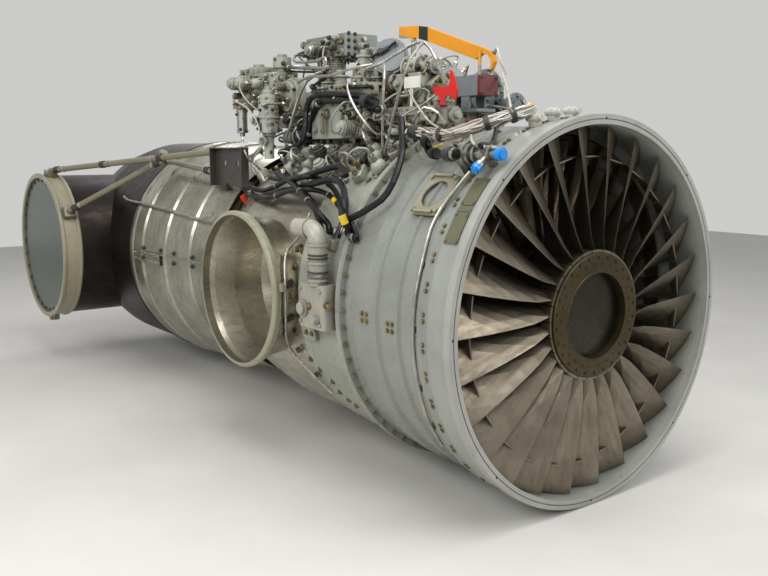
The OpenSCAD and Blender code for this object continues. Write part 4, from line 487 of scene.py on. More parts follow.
class Kit:
    """Gathers many small shapes into one object of one material."""

    all_kits = []

    def __init__(self, name, surface, slot):
        self.all_kits.append(self)
        self.name, self.surface, self.slot = name, surface, slot
        self.points, self.faces = [], []

    def add(self, points, faces):
        base = len(self.points)
        self.points += points
        self.faces += [tuple(base + i for i in f) for f in faces]

    def turned(self, place, profile, sides=16):
        """A turned shape from its (radius, height) profile, closed at both ends."""
        points = []
        for r, h in profile:
            for k in range(sides):
                a = math.tau * k / sides
                points.append(place @ Vector((r * math.cos(a), r * math.sin(a), h)))
        self.add(points, ring_faces(len(profile), sides))

    def block(self, place, size, cut=0.12):
        """A box that stands on its place, with its corners and top edge cut."""
        x, y, z = size[0] / 2, size[1] / 2, size[2]
        c = cut * min(size)

        def outline(inset, h):
            a, b = x - inset, y - inset
            flat = [(a - c, -b), (a, -b + c), (a, b - c), (a - c, b),
                    (-a + c, b), (-a, b - c), (-a, -b + c), (-a + c, -b)]
            return [place @ Vector((u, v, h)) for u, v in flat]

        points = outline(0, 0) + outline(0, z - c) + outline(c, z)
        faces = [tuple(range(7, -1, -1)), tuple(range(16, 24))]
        for i in (0, 8):
            faces += [(i + k, i + (k + 1) % 8, i + 8 + (k + 1) % 8, i + 8 + k) for k in range(8)]
        self.add(points, faces)

    def tube(self, path, radius, sides=10):
        """A round tube along a path."""
        count = len(path)
        side = None
        points = []
        for i, p in enumerate(path):
            way = (path[min(i + 1, count - 1)] - path[max(i - 1, 0)]).normalized()
            if side is None:
                side = way.orthogonal().normalized()
            side = (side - way * side.dot(way)).normalized()
            other = way.cross(side)
            for k in range(sides):
                a = math.tau * k / sides
                points.append(p + side * (radius * math.cos(a)) + other * (radius * math.sin(a)))
        self.add(points, ring_faces(count, sides))

    def band(self, path, share, radius, length, sides=20):
        """A short sleeve round a path, at a share of the way along it."""
        i = max(1, min(len(path) - 2, round(share * (len(path) - 1))))
        way = (path[i + 1] - path[i - 1]).normalized()
        place = facing(path[i] - way * length / 2, way)
        lip = min(0.15 * length, 0.0012)
        profile = [(radius - lip, 0), (radius, lip), (radius, length - lip), (radius - lip, length)]
        self.turned(place, profile, sides)

    def finish(self):
        """Makes the object, fixed to the engine."""
        mesh = bpy.data.meshes.new(self.name)
        mesh.from_pydata(self.points, [], self.faces)
        mesh.materials.append(self.surface.material)
        for p in mesh.polygons:
            p.use_smooth = True
        mesh.set_sharp_from_angle(angle=SHARP_EDGE)
        made = bpy.data.objects.new(self.name, mesh)
        scene.collection.objects.link(made)
        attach(made, "engine_frame")


# Materials of the small parts, and the kits that they are gathered in
bright = polished("bright_small", rgb(176, 175, 166), roughness=0.3)
gold = polished("gold_plating", rgb(168, 148, 106), roughness=0.36)
cast = painted("cast_small", rgb(160, 161, 148), shade=0.7, roughness=0.38, dirt_and_shade=0.7)
dark = painted("dark_small", rgb(48, 46, 44), dirt_and_shade=0.3, roughness=0.45)
brown = painted("brown_small", rgb(96, 80, 66), dirt_and_shade=0.4)
black_rubber = rubber("rubber_small", rgb(11, 11, 13))
white_sleeve = plastic("white_sleeve", rgb(184, 180, 166), roughness=0.5)
pink_sleeve = plastic("pink_sleeve", rgb(178, 150, 138), roughness=0.5)
braid = metal("braid", rgb(196, 196, 190), grain=(1, 6, 6))
yellow = plastic("yellow_tag", rgb(236, 200, 40), roughness=0.5)
orange = plastic("orange_tag", rgb(222, 60, 20), roughness=0.55)

unions = Kit("pipe_unions", bright, "pipe_steel")
gold_parts = Kit("plated_fittings", gold, "steel_fasteners")
cast_parts = Kit("small_castings", cast, "casting")
dark_parts = Kit("dark_fittings", dark, "black_fasteners")
brown_parts = Kit("coils", brown, "maroon_paint")
small_pipes = Kit("small_pipes", bright, "pipe_steel")
painted_pipes = Kit("painted_pipes", cast, "casting")
cables = Kit("harness_cables", white_sleeve, "loom_sleeve")
dark_cables = Kit("dark_cables", black_rubber, "hose_rubber")
yellow_tags = Kit("yellow_tags", yellow, "loom_sleeve")
orange_tags = Kit("orange_tags", orange, "marker_paint")
silver_strands = Kit("silver_strands", braid, "loom_sleeve")
pink_strands = Kit("pink_strands", pink_sleeve, "loom_sleeve")
yellow_strands = Kit("yellow_strands", yellow, "loom_sleeve")


# Bolts and unions
def moved(place, x, y, z):
    """A place shifted along its own axes."""
    return place @ Matrix.Translation((x, y, z))


def bolt(place, kit=gold_parts, r=0.0055):
    """Washer, hexagon head and the end of the thread."""
    kit.turned(place, [(r * 1.5, 0), (r * 1.5, 0.0012)], 16)
    kit.turned(place, [(r, 0.0012), (r, 0.0052), (r * 0.86, 0.006)], 6)
    kit.turned(place, [(r * 0.5, 0.006), (r * 0.5, 0.0095)], 10)


def bolt_ring(place, ring, h, kit, r):
    """Six bolts on a circle."""
    for k in range(6):
        a = k * math.pi / 3
        bolt(moved(place, ring * math.cos(a), ring * math.sin(a), h), kit, r)


def bolt_corners(place, x, y, h, r):
    for u in (-x, x):
        for v in (-y, y):
            bolt(moved(place, u, v, h), gold_parts, r)


def union(place, kit=unions):
    """Pipe union: a hexagon, a collar and a nut. Gives the place where its pipe starts."""
    kit.turned(place, [(0.0105, 0), (0.0105, 0.004)], 18)
    kit.turned(place, [(0.0095, 0.004), (0.0095, 0.012)], 6)
    kit.turned(place, [(0.0065, 0.012), (0.0065, 0.018)], 14)
    kit.turned(place, [(0.0088, 0.018), (0.0088, 0.027), (0.007, 0.03)], 6)
    return place @ Vector((0, 0, 0.029))


# Fittings that stand on the castings. Ports are the ends that small pipes and cables start from.
class Spot(NamedTuple):
    """Where a fitting stands: a point and the normal there, the matrix on it, and the room round it."""

    point: Vector
    normal: Vector
    place: Matrix
    radius: float

    def up(self):
        return (self.place.to_3x3() @ Vector((0, 0, 1))).normalized()


ports, wire_ports, taken = [], [], []
BOLT_PITCH = 0.026
PROBE = 0.012  # height over a face from which a ray looks down at it
QUARTER_TURNS = [0, 1.57, 3.14, 4.71]


def fit_union(spot):
    ports.append((union(spot.place, rng.choice([unions, unions, gold_parts])), spot.normal.copy()))


def fit_switch(spot):
    body = [(0.017, 0), (0.017, 0.004), (0.0135, 0.006), (0.0135, 0.024), (0.011, 0.027), (0.011, 0.034)]
    cast_parts.turned(spot.place, body, 20)
    unions.turned(spot.place, [(0.0125, 0.034), (0.0125, 0.038)], 6)
    dark_parts.turned(spot.place, [(0.008, 0.038), (0.008, 0.048), (0.005, 0.051)], 14)


def fit_solenoid(spot):
    brown_parts.turned(spot.place, [(0.014, 0.005), (0.0155, 0.008), (0.0155, 0.03), (0.013, 0.033)], 20)
    unions.turned(spot.place, [(0.017, 0), (0.017, 0.005)], 20)
    unions.turned(spot.place, [(0.0115, 0.033), (0.0115, 0.038), (0.006, 0.04)], 6)


def fit_connector(spot):
    gold_parts.turned(spot.place, [(0.014, 0), (0.014, 0.003), (0.0115, 0.004), (0.0115, 0.008)], 18)
    cast_parts.turned(spot.place, [(0.0135, 0.008), (0.0135, 0.02), (0.0115, 0.022)], 24)
    dark_parts.turned(spot.place, [(0.01, 0.022), (0.0075, 0.034), (0.0055, 0.036)], 16)
    wire_ports.append((spot.place @ Vector((0, 0, 0.035)), spot.normal.copy()))


def fit_plate(spot):
    cast_parts.block(spot.place, (0.046, 0.034, 0.006))
    bolt_corners(spot.place, 0.015, 0.0095, 0.006, 0.0042)


def fit_plug(spot):
    unions.turned(spot.place, [(0.012, 0), (0.012, 0.003)], 18)
    unions.turned(spot.place, [(0.0092, 0.003), (0.0092, 0.01), (0.0078, 0.0115)], 6)


def fit_lever(spot):
    """Lever on a spindle, square to the part that it stands on."""
    place = facing(spot.point, spot.normal, rng.choice(QUARTER_TURNS))
    dark_parts.turned(place, [(0.01, 0), (0.01, 0.01)], 16)
    gold_parts.block(moved(place, 0.014, 0, 0.01), (0.044, 0.012, 0.004))
    unions.turned(moved(place, 0.03, 0, 0.014), [(0.006, 0), (0.006, 0.008)], 6)


def fit_bolt_row(spot):
    """Up to five bolts in a row, where the face is flat and free."""
    along = Vector((1, 0, 0)) if abs(spot.normal.x) < 0.5 else Vector((0, 0, 1))
    along = (along - spot.normal * along.dot(spot.normal)).normalized()
    kit = rng.choice([gold_parts, unions, unions, dark_parts])
    for k in range(-2, 3):
        start = spot.point + along * BOLT_PITCH * k
        under = everything.hit(start + spot.normal * PROBE, -spot.normal, 0.02)
        if under is None or abs((under[0] - spot.point).dot(spot.normal)) >= 0.001:
            continue
        if all((under[0] - other).length > 0.009 + size for other, size in taken):
            bolt(facing(under[0], spot.normal), kit)
            taken.append((under[0], 0.008))


def fit_bolt(spot):
    bolt(spot.place, rng.choice([gold_parts, unions, dark_parts]), 0.0048)


def fit_nipple(spot):
    unions.turned(spot.place, [(0.008, 0), (0.008, 0.006)], 6)
    rng.choice([gold_parts, unions]).turned(spot.place, [(0.0048, 0.006), (0.0048, 0.015), (0.003, 0.02)], 12)


def fit_stub(spot):
    profile = [(0.009, 0), (0.009, 0.004), (0.0065, 0.005), (0.0065, 0.014), (0.004, 0.017)]
    dark_parts.turned(spot.place, profile, 14)


def fit_pad(spot):
    cast_parts.turned(spot.place, [(0.0125, 0), (0.0125, 0.004), (0.0085, 0.0055), (0.0085, 0.009)], 20)
    bolt(moved(spot.place, 0, 0, 0.0085), gold_parts, 0.0036)


def fit_dome(spot):
    """Cast bowl on a bolted flange, with a drain union on top."""
    r = spot.radius
    bowl = [(r, 0), (r, 0.006), (r * 0.82, 0.008), (r * 0.8, 0.026), (r * 0.72, 0.036), (r * 0.52, 0.044),
            (r * 0.26, 0.048)]
    cast_parts.turned(spot.place, bowl, 32)
    bolt_ring(spot.place, r * 0.91, 0.006, unions, 0.0034)
    ports.append((union(moved(spot.place, 0, 0, 0.045)), spot.up()))


def fit_drum(spot):
    """Ribbed drum on a square foot, with a cap."""
    r = spot.radius
    cast_parts.block(spot.place, (r * 1.9, r * 1.9, 0.008))
    profile = [(r * 0.8, 0.008)]
    for k in range(5):
        h = 0.014 + k * 0.009
        profile += [(r * 0.8, h), (r * 0.92, h + 0.001), (r * 0.92, h + 0.004), (r * 0.8, h + 0.005)]
    profile += [(r * 0.8, 0.062), (r * 0.55, 0.066), (r * 0.55, 0.072), (r * 0.3, 0.075)]
    rng.choice([cast_parts, cast_parts, dark_parts, unions]).turned(spot.place, profile, 32)
    bolt_corners(spot.place, r * 0.8, r * 0.8, 0.008, 0.0038)


def fit_manifold(spot):
    """Small machined block with two unions and two bolts on top."""
    cast_parts.block(spot.place, (0.062, 0.04, 0.03))
    for u in (-0.018, 0.018):
        port = union(moved(spot.place, u, 0, 0.03), rng.choice([unions, gold_parts]))
        ports.append((port, spot.up()))
    for v in (-0.012, 0.012):
        bolt(moved(spot.place, 0, v, 0.03), gold_parts, 0.0036)


# Kinds of fitting, each with the radius and height that it needs free. One that is listed twice is drawn
# twice as often.
UNION = (fit_union, 0.0115, 0.032)
PLUG = (fit_plug, 0.0125, 0.014)
NIPPLE = (fit_nipple, 0.0085, 0.022)
SMALL = [UNION, UNION, UNION, (fit_switch, 0.017, 0.052), (fit_solenoid, 0.017, 0.042),
         (fit_connector, 0.0145, 0.038), (fit_plate, 0.026, 0.012), PLUG, PLUG, (fit_lever, 0.012, 0.022),
         (fit_bolt_row, 0.01, 0.01)]
TINY = [(fit_bolt, 0.0062, 0.01), NIPPLE, (fit_stub, 0.0095, 0.018), NIPPLE, (fit_pad, 0.013, 0.012), PLUG,
        UNION]
LARGE = [(fit_dome, 0.034, 0.075), (fit_drum, 0.03, 0.085), (fit_manifold, 0.036, 0.05),
         (fit_dome, 0.027, 0.06)]

lever_low, lever_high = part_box("throttle_lever")
LEVER_MIDDLE = (lever_low + lever_high) / 2
LEVER_ROOM = 0.11  # kept free of fittings round the throttle lever, which swings there
PIPE_LEVER_ROOM = 0.1  # kept free of pipes there
HIGHEST_TOP = 0.93  # nothing stands on a top above this height, so that the engine doesn't grow
FLATNESS = 0.0015
ANY_TURN = 6.28


def stands(hit, radius, height, allowed):
    """True where a fitting of this size sits flat on an allowed node with nothing above it."""
    place, normal, node = hit
    on_top = place.z > HIGHEST_TOP and normal.z > 0.7
    if node not in allowed or (place - LEVER_MIDDLE).length < LEVER_ROOM or on_top:
        return False
    if any((place - other).length < radius + size for other, size in taken):
        return False
    across = normal.orthogonal().normalized()
    for k in range(6):
        way = Matrix.Rotation(k * math.pi / 3, 3, normal) @ across
        rim = place + way * radius
        under = everything.hit(rim + normal * PROBE, -normal, 0.03)
        if under is None or abs((under[0] - place).dot(normal)) > FLATNESS:
            return False
        if everything.hit(rim + normal * 0.004, normal, height + 0.012) is not None:
            return False
    return everything.hit(place + normal * 0.002, normal, height + 0.015) is None


def place_fittings(hits, wanted, allowed=CASTINGS, kinds=SMALL):
    """Stands up to the wanted number of fittings on what the rays hit."""
    made = 0
    for hit in hits:
        if made >= wanted:
            break
        if hit is None:
            continue
        fit, radius, height = rng.choice(kinds)
        if not stands(hit, radius, height, allowed):
            continue
        point, normal, _ = hit
        fit(Spot(point, normal, facing(point, normal, rng.random() * ANY_TURN), radius))
        taken.append((point, radius))
        made += 1


def hits_in(left, top, right, bottom, count):
    """What the camera sees at random pixels of a region of the photograph."""
    return [seen(rng.uniform(left, right), rng.uniform(top, bottom)) for _ in range(count)]


def rays_over(low, high, way, step):
    """What rays in one direction over a box meet, in an order that mixes near and far ones."""
    axis = max(range(3), key=lambda i: abs(way[i]))
    u, v = [i for i in range(3) if i != axis]
    starts = []
    for i in range(int((high[u] - low[u]) / step)):
        for j in range(int((high[v] - low[v]) / step)):
            start = Vector((0, 0, 0))
            start[u] = low[u] + (i + rng.random()) * step
            start[v] = low[v] + (j + rng.random()) * step
            start[axis] = low[axis] - 0.2 if way[axis] > 0 else high[axis] + 0.2
            starts.append(start)
    rng.shuffle(starts)
    return [everything.hit(start, Vector(way), 3) for start in starts]


# Large fittings first, then small and tiny ones where the camera looks, then those that other views show
SHOULDER = ["plenum", "intermediate_case", "gearbox", "fuel_control"]
UPPER = CASTINGS + ["filter_canisters", "junction_box", "air_valve", "plenum", "intermediate_case"]
TOP_LOW, TOP_HIGH = Vector((-1.75, -0.42, 0.5)), Vector((-0.4, 0.42, 0.96))
RAY_STEP = 0.022
shoulder_hits = hits_in(246, 132, 402, 182, 900)
place_fittings(shoulder_hits, 26, SHOULDER, LARGE)
place_fittings(hits_in(240, 50, 470, 150, 900), 22, CASTINGS, LARGE)
place_fittings(shoulder_hits, 60, SHOULDER)
place_fittings(hits_in(232, 45, 520, 185, 3600), 230)
place_fittings(hits_in(236, 50, 440, 178, 4200), 420, UPPER, TINY)
for way, wanted in (((0, 0, -1), 70), ((0, 1, 0), 40), ((0, -1, 0), 80), ((1, 0, 0), 25), ((-1, 0, 0), 25)):
    place_fittings(rays_over(TOP_LOW, TOP_HIGH, way, RAY_STEP), wanted)


# Small pipes and cables from fitting to fitting, lifted clear of the castings
STEM = 0.022  # straight run at each end of a pipe
runs = []


def clear_of_runs(path, gap):
    return all((p - q).length > gap for run in runs for q in run[::2] for p in path[4:-4:2])


def routed(a, b, radius, lift):
    """Path from one port to another that stays outside the solids, or nothing where there is none."""
    (start, up), (end, down) = a, b
    reach = (end - start).length
    middle = []
    for t in (0.22, 0.5, 0.78):
        p = start.lerp(end, t) + (up * (1 - t) + down * t) * (0.03 + lift * math.sin(math.pi * t))
        for _ in range(6):
            near, normal, _, far = everything.tree.find_nearest(p)
            inside = (p - near).dot(normal) < 0
            if not inside and far > radius + 0.008:
                break
            p = near + normal * (radius + 0.012)
        middle.append(p)
    path = curve_through([start, start + up * STEM, *middle, end + down * STEM, end], 6)
    for p in path[5:-5]:
        if everything.room(p) < radius + 0.0015 or (p - LEVER_MIDDLE).length < PIPE_LEVER_ROOM:
            return None
    if max((path[i + 1] - path[i]).length for i in range(len(path) - 1)) > reach:
        return None
    return path


def connect(ends, wanted, radii, kits, near, far, lift, gap):
    """Joins ports that lie between two distances of each other, and gives the ports that are left."""
    free = list(ends)
    rng.shuffle(free)
    made = 0
    while free and made < wanted:
        a = free.pop()
        around = [e for e in free if near < (e[0] - a[0]).length < far]
        around.sort(key=lambda e: (e[0] - a[0]).length)
        for b in around[:7]:
            radius = rng.choice(radii)
            path = routed(a, b, radius, lift)
            if path and clear_of_runs(path, gap):
                rng.choice(kits).tube(path, radius)
                runs.append(path)
                free.remove(b)
                made += 1
                break
    return free


PIPE_KITS = [small_pipes, small_pipes, painted_pipes]
WIRE_KITS = [cables, dark_cables, dark_cables]
left = connect(ports, 95, [0.0032, 0.0038, 0.0045], PIPE_KITS, 0.05, 0.3, 0.016, 0.01)
connect(left, 30, [0.003], [small_pipes], 0.04, 0.5, 0.03, 0.008)
connect(wire_ports, 45, [0.0026, 0.0032], WIRE_KITS, 0.05, 0.32, 0.02, 0.008)


# Parts placed by their pixels in the photograph, each on the solid that the camera sees there
def at_pixel(px, py, spin=0.0):
    place, normal, _ = seen(px, py)
    return facing(place, normal, spin)


def path_over(pixels, lift, ends=(0, 0)):
    """A smooth path in front of the solids. An end with no lift of its own leaves its surface squarely."""
    hits = [seen(px, py) for px, py in pixels]
    depths = [(hit[0] - CAMERA_PLACE).length if hit else None for hit in hits]
    known = [d for d in depths if d is not None]
    depths = [sum(known) / len(known) if d is None else d for d in depths]
    last = len(pixels) - 1
    eased = list(depths)
    for _ in range(4):
        eased = [min(depths[i], (eased[max(i - 1, 0)] + 2 * eased[i] + eased[min(i + 1, last)]) / 4)
                 for i in range(last + 1)]
    points = []
    for i, (px, py) in enumerate(pixels):
        if i not in (0, last):
            points.append(CAMERA_PLACE + pixel_ray(px, py)[1] * (eased[i] - lift))
            continue
        rise = ends[0] if i == 0 else ends[1]
        if rise or hits[i] is None:
            points.append(CAMERA_PLACE + pixel_ray(px, py)[1] * (depths[i] - rise))
            continue
        foot, normal, _ = hits[i]
        pair = [foot, foot + normal * min(0.024, 0.5 * lift + 0.012)]
        points += pair if i == 0 else pair[::-1]
    return curve_through(points, 5)


def socket(px, py, radius):
    """Foot of a cable or hose: a collar and a nut on the surface that it leaves."""
    hit = seen(px, py)
    if hit:
        place = facing(hit[0], hit[1])
        unions.turned(place, [(radius * 1.9, 0), (radius * 1.9, 0.003)], 18)
        unions.turned(place, [(radius * 1.6, 0.003), (radius * 1.6, 0.011), (radius * 1.3, 0.013)], 6)


def cable(pixels, radius, kit, lift=0.014, ends=(0, 0), ferrules=None):
    """A cable, hose or rod along pixels, with a socket at each end that has no lift of its own."""
    path = path_over(pixels, lift, ends)
    kit.tube(path, radius)
    for (px, py), rise in zip((pixels[0], pixels[-1]), ends):
        if not rise:
            socket(px, py, radius)
    if ferrules:
        for share in (0.08, 0.92):
            ferrules.band(path, share, radius * 1.4, radius * 5)
    return path


def ribbed(path, share, radius, kit, count=5, pitch=0.006):
    """A corrugated end sleeve: several rings side by side."""
    total = sum((path[i + 1] - path[i]).length for i in range(len(path) - 1))
    for k in range(count):
        kit.band(path, min(0.98, max(0.02, share + (k - count / 2) * pitch / total)), radius, pitch * 0.55)


# Bolts along the intermediate case's seam, clips on the bead in front of it, and a small plate and block
SEAM_BOLTS = [(301.8, 251.4), (296, 266.3), (292.5, 283.9), (290.9, 301.1), (292.9, 318.1), (296.4, 333),
              (302.4, 347), (311.1, 359.1), (320.3, 370), (333, 381.8), (349, 400), (356.6, 405.7),
              (309.4, 306.2), (340, 392)]
BEAD_CLIPS = [(299.2, 248.2), (289, 283.9), (289.3, 318), (299.2, 349.6), (318.4, 373.8)]
for px, py in SEAM_BOLTS:
    bolt(at_pixel(px, py), gold_parts, 0.0082)
for px, py in BEAD_CLIPS:
    dark_parts.block(at_pixel(px, py, 0.4), (0.034, 0.02, 0.007))
    bolt(at_pixel(px + 2.5, py + 1), unions, 0.0048)
plate = at_pixel(313.3, 331.5)
cast_parts.block(plate, (0.062, 0.052, 0.016))
for u in (-0.017, 0.017):
    bolt(moved(plate, u, 0, 0.016), gold_parts, 0.007)
union(at_pixel(326, 305.5), gold_parts)
cast_parts.block(at_pixel(333.4, 246), (0.05, 0.036, 0.024))
bolt(at_pixel(333.4, 243), unions, 0.006)


# Rubber hoses: one over the shoulder, two below it, one round the fuel control unit, and two in front
hose = cable([(283.4, 173), (292, 183), (302.1, 193.6), (317.3, 211.4), (328, 224), (335.1, 232.9)],
             0.0105, dark_cables, 0.03)
ribbed(hose, 0.1, 0.0135, dark_parts)
ribbed(hose, 0.88, 0.0135, dark_parts)
unions.band(hose, 0.4, 0.0125, 0.006)
unions.band(hose, 0.48, 0.0125, 0.006)
unions.band(hose, 0.985, 0.014, 0.02)
for drop, end_x, tag in ((0, 343, 0.84), (7, 352, 0.7)):
    loop = cable([(252, 191 + drop), (262, 190.5 + drop), (274, 187 + drop * 1.4), (288, 180 + drop * 1.6),
                  (302, 177 + drop * 1.8), (318, 178 + drop * 1.8), (331, 186 + drop * 1.5),
                  (339, 199 + drop), (end_x - 1, 216 + drop), (end_x, 230 + drop)],
                 0.0092, dark_cables, 0.045)
    for share in (0.3, 0.62):
        unions.band(loop, share, 0.0115, 0.005)
    ribbed(loop, 0.94, 0.0125, dark_parts)
    yellow_tags.band(loop, tag, 0.0125, 0.03)
upper = cable([(286, 156), (296, 150), (306, 145.6), (310, 130), (313.7, 111.9), (322, 99.7), (334, 99),
               (348, 100.4)], 0.0105, dark_cables, 0.02)
for share in (0.12, 0.42, 0.62, 0.8):
    unions.band(upper, share, 0.0135, 0.014)
side_hose = cable([(331.5, 101.2), (350, 100.6), (365.9, 101.2), (376, 104), (382, 109.6)],
                  0.011, dark_cables, 0.03)
ribbed(side_hose, 0.86, 0.0145, dark_parts)
dark_parts.band(side_hose, 0.5, 0.024, 0.026)
elbow = cable([(428, 136), (427.5, 146), (430, 152), (438, 154), (448, 154), (458, 154)],
              0.013, dark_cables, 0.03, (0, 0.01))
ribbed(elbow, 0.62, 0.0175, dark_parts, 4, 0.008)
dark_parts.band(elbow, 0.85, 0.022, 0.036)
unions.band(elbow, 0.95, 0.019, 0.012)
cable([(497.8, 132.8), (494, 139), (490.4, 144.4), (484, 150)], 0.0065, dark_cables, 0.02)


# Thin cables and wires, then rods with collars
cable([(242.7, 138), (242.7, 142.7), (245, 151.6), (251.2, 163.2), (260.1, 173), (268, 178)],
      0.0042, cables, 0.012, ferrules=unions)
cable([(261, 151.6), (253.9, 157.9), (251.7, 165), (254.8, 173.9), (264.6, 179.3)],
      0.0042, cables, 0.016, ferrules=gold_parts)
cable([(238.7, 101.2), (246, 107), (254, 116.5), (259, 128), (261.7, 139.5)], 0.003, cables, 0.01)
cable([(429.4, 62.9), (426, 68), (422.5, 73)], 0.0026, gold_parts, 0.012)
cable([(413.3, 90.6), (415, 102), (420.7, 110.4), (426, 118), (433.2, 124.5), (443.1, 130.3), (453, 132.8)],
      0.0034, cables)
cable([(472.1, 134.4), (472, 141), (479.6, 146.9), (486, 147), (491, 147.4)], 0.0042, cables)
cable([(466.3, 137.7), (461, 142), (456.4, 146)], 0.003, gold_parts, 0.01)
cable([(493.7, 53.2), (500, 60), (505.3, 71.4), (503, 75.5), (506, 84), (508.6, 96), (512, 111.2),
       (513, 120)], 0.0042, cables, 0.02)
rod = cable([(310.6, 88.4), (320, 81), (331.3, 73.7)], 0.0055, dark_cables, 0.016)
for share in (0.03, 0.97):
    dark_parts.band(rod, share, 0.011, 0.014)
shaft = cable([(287.7, 67.5), (307, 67.9), (326.7, 68.3)], 0.0075, small_pipes, 0.012)
unions.band(shaft, 0.08, 0.012, 0.02)
cable([(288, 71.5), (307, 71.9), (324, 72)], 0.005, dark_cables, 0.01)
cross = cable([(349, 86.6), (364, 86.6), (380, 86.8)], 0.006, dark_cables, 0.012)
gold_parts.band(cross, 0.06, 0.009, 0.03)


# Tags, and a slot and two bosses on the fuel control unit
yellow_tags.block(at_pixel(439, 146, 0.9), (0.03, 0.024, 0.004))
orange_tags.block(at_pixel(245, 200, 0.6), (0.026, 0.05, 0.004))
# The slot is a thin dark block: its dark colour is painted shade, standing for the hollow of the slot.
dark_parts.block(at_pixel(359, 123), (0.011, 0.026, 0.004))
for px, py in ((366, 115), (366, 127)):
    cast_parts.turned(at_pixel(px, py), [(0.015, 0), (0.015, 0.006), (0.008, 0.008), (0.006, 0.014)], 20)


# Rubber bands and a clamp round the upright leg of the bleed elbow: height, radius, length and kit
LEG = Vector((-0.65, -0.602, 0))
LEG_BANDS = [(0.156, 0.0335, 0.005, dark_parts), (0.167, 0.0335, 0.005, dark_parts),
             (0.098, 0.035, 0.008, unions), (0.112, 0.035, 0.004, dark_parts)]
for z, r, length, kit in LEG_BANDS:
    profile = [(r - 0.001, 0), (r, 0.001), (r, length - 0.001), (r - 0.001, length)]
    kit.turned(Matrix.Translation(LEG + Vector((0, 0, z))), profile, 40)


# The heat shield's seam and its bolts
SHIELD_BOLTS = [(143.5, 247.5), (161, 250.5), (174, 253.5), (192.5, 257.5),
                (143.5, 257.5), (161, 260.5), (174, 263.5), (192.5, 266.5)]
seam = [(px, 252 + (px - 143) * 0.19) for px in range(136, 203, 6)]
unions.tube(path_over(seam, 0.002, (0.002, 0.002)), 0.0035, 8)
for px, py in SHIELD_BOLTS:
    profile = [(0.011, 0), (0.011, 0.002), (0.0075, 0.003), (0.0075, 0.009), (0.005, 0.011)]
    dark_parts.turned(at_pixel(px, py), profile, 16)


# Dark arm across the round control unit
arm = cable([(373, 58), (381, 52), (389, 47), (396, 44)], 0.0048, dark_cables, 0.01)
dark_parts.band(arm, 0.5, 0.008, 0.03)
dark_parts.turned(at_pixel(381, 52), [(0.014, 0), (0.014, 0.006), (0.009, 0.008), (0.009, 0.014)], 20)


# Fork sleeves and collars on the strut tubes, on both sides
plate_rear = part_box("support_plates")[0].x
for side in (1, -1):
    knuckle = Vector((-2.325, -0.404 * side, 0.458))
    low = Vector((-2.738, -0.7365 * side, 0.202))
    high = Vector((-3.018, -0.7365 * side, 0.398))
    fore_low = Vector((plate_rear - 0.008, -0.4 * side, 0.41))
    fore_high = Vector((plate_rear - 0.008, -0.4 * side, 0.496))
    for start, end, collars in ((low, knuckle, (0.07, 0.93)), (knuckle, fore_low, (0.1, 0.9)),
                                (high, fore_high, (0.05, 0.36, 0.72))):
        tube = [start.lerp(end, k / 60) for k in range(61)]
        for share in collars:
            dark_parts.band(tube, share, 0.0175, 0.034, 28)
            unions.band(tube, share + (0.045 if share < 0.5 else -0.045), 0.0162, 0.008, 28)


# Knurled wheel beside the round control unit: a toothed rim on a hub
wheel = at_pixel(391, 83)
teeth = [(0.042 if k % 2 else 0.039) for k in range(48)]
points = []
for h in (0.002, 0.022):
    for k, r in enumerate(teeth):
        a = math.tau * k / len(teeth)
        points.append(wheel @ Vector((r * math.cos(a), r * math.sin(a), h)))
brown_parts.add(points, ring_faces(2, len(teeth)))
cast_parts.turned(wheel, [(0.031, 0.018), (0.031, 0.027), (0.026, 0.03)], 32)
dark_parts.turned(wheel, [(0.018, 0.026), (0.018, 0.033), (0.012, 0.036)], 24)
bolt_ring(wheel, 0.0245, 0.028, gold_parts, 0.0035)


# Loom: strands laid round the core, tie bands, a boot at the rear and tails from there into the gearbox
LOOM = [(-0.5, -0.33, 0.56), (-0.42, -0.352, 0.556), (-0.327, -0.346, 0.55), (-0.239, -0.312, 0.57),
        (-0.182, -0.266, 0.592), (-0.15, -0.228, 0.606), (-0.132, -0.17, 0.626)]
STRANDS = 17
YELLOW_STRAND = 5  # runs only along the front half
STRAND_KITS = (cables, silver_strands, cables, pink_strands, silver_strands, cables)
core = curve_through(LOOM, 12)
for k in range(STRANDS):
    turn = rng.random() * 0.9
    strand = []
    for i, p in enumerate(core[2:-1]):
        way = (core[i + 3] - core[i + 2]).normalized()
        side = way.cross(Vector((0, 0, 1))).normalized()
        other = side.cross(way)
        a = math.tau * k / STRANDS + turn * math.sin(i * 0.11 + k)
        r = 0.015 + 0.003 * math.sin(i * 0.4 + k * 2.1)
        strand.append(p + side * r * math.cos(a) + other * r * math.sin(a))
    if k == YELLOW_STRAND:
        yellow_strands.tube(strand[len(strand) // 2:], 0.0033, 8)
    else:
        STRAND_KITS[k % 6].tube(strand, 0.0033, 8)
for share in (0.3, 0.58, 0.8):
    dark_parts.band(core, share, 0.0225, 0.016, 28)
dark_parts.band(core, 0.05, 0.0225, 0.07, 28)
for k in range(6):
    a = k * math.pi / 3
    start = core[0] + Vector((0.006, 0.01 * math.cos(a), 0.01 * math.sin(a)))
    way = Vector((-1, 0.14 + 0.1 * math.cos(a), 0.06 + 0.22 * math.sin(a))).normalized()
    hit = everything.hit(start + way * 0.03, way, 0.5)
    if hit:
        sag = start.lerp(hit[0], 0.5) + Vector((0, -0.012, -0.02))
        tail = curve_through([start, start + Vector((-0.03, 0, 0)), sag, hit[0] + hit[1] * 0.025, hit[0]])
        rng.choice([cables, silver_strands, dark_cables]).tube(tail, 0.0042)
        boot = [(0.012, 0), (0.012, 0.004), (0.009, 0.006), (0.009, 0.018)]
        cast_parts.turned(facing(hit[0], hit[1]), boot, 18)


# Small parts become objects
for kit in Kit.all_kits:
    kit.finish()


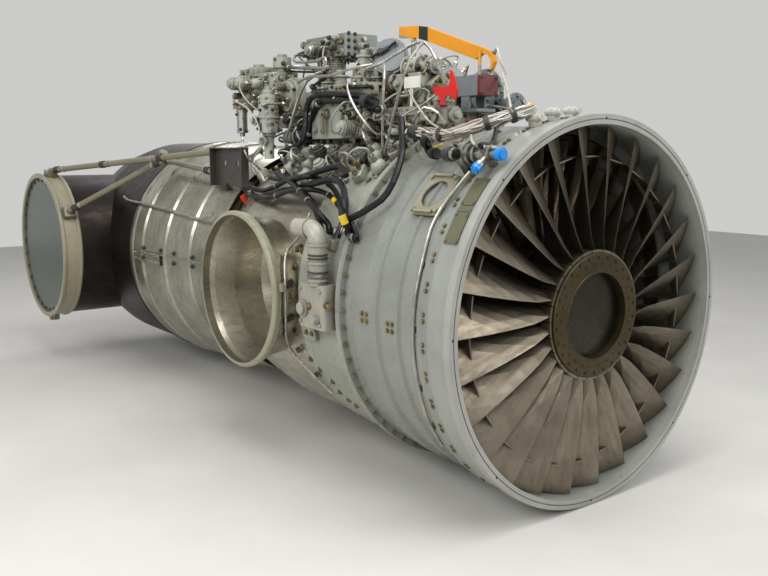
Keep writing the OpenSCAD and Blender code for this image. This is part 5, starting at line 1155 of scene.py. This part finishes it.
# Floor and light
FLOOR_REACH = 9
GREY_LIGHT = (0.36, 0.365, 0.37, 1)
BACKDROP = (0.6, 0.6, 0.59, 1)


def add_floor():
    reach = FLOOR_REACH
    low = cad_box[0].z - 0.002
    corners = [(-reach, -reach, low), (reach, -reach, low), (reach, reach, low), (-reach, reach, low)]
    mesh = bpy.data.meshes.new("floor")
    mesh.from_pydata(corners, [], [(0, 1, 2, 3)])
    floor = bpy.data.objects.new("floor", mesh)
    scene.collection.objects.link(floor)
    s = Surface("floor_pale", roughness=0.6)
    s.colour(s.ramp(s.noise(2.5, 4, 0.5), [(0.3, rgb(206, 204, 199)), (0.7, rgb(214, 212, 207))]))
    mesh.materials.append(s.material)


def add_lamp(name, place, target, size, power):
    data = bpy.data.lights.new(name, "AREA")
    data.shape = "RECTANGLE"
    data.size = size[0]
    data.size_y = size[1]
    data.energy = power
    lamp = bpy.data.objects.new(name, data)
    lamp.location = place
    lamp.rotation_mode = "QUATERNION"
    lamp.rotation_quaternion = (Vector(target) - Vector(place)).to_track_quat("-Z", "Y")
    scene.collection.objects.link(lamp)


def add_world():
    """Dim even light, and a pale backdrop for what is seen directly or in a reflection."""
    world = bpy.data.worlds.new("world")
    world.use_nodes = True
    tree = world.node_tree
    shows = new_node(tree, "ShaderNodeLightPath", "Is Camera Ray", {})
    rays = shows.node.outputs
    for name in ("Is Glossy Ray", "Is Transmission Ray"):
        shows = new_node(tree, "ShaderNodeMath", "Value", {0: shows, 1: rays[name]}, operation="MAXIMUM")
    inputs = {MIX_FACTOR: shows, MIX_A: GREY_LIGHT, MIX_B: BACKDROP}
    colour = new_node(tree, "ShaderNodeMix", MIX_RESULT, inputs, data_type="RGBA")
    background = tree.nodes["Background"]
    background.inputs["Strength"].default_value = 1
    tree.links.new(colour, background.inputs["Color"])
    scene.world = world


add_floor()
add_world()
add_lamp("overhead", (0.2, -0.6, 3.6), (-1.2, 0, 0), (3.4, 2.4), 112)
add_lamp("front_left", (2.6, 1.4, 1.8), (-0.6, 0, 0.1), (1.8, 1.6), 48)
add_lamp("side", (-0.6, -4.0, 2.2), (-1.4, 0, 0), (3.6, 1.6), 92)
add_lamp("near_camera", (2.2, -2.9, 1.5), (-1.0, -0.5, 0), (0.6, 0.6), 22)
add_lamp("rear", (-4.6, 1.8, 2.6), (-2.0, 0, 0), (2.4, 1.6), 46)

scene.view_settings.view_transform = "Standard"
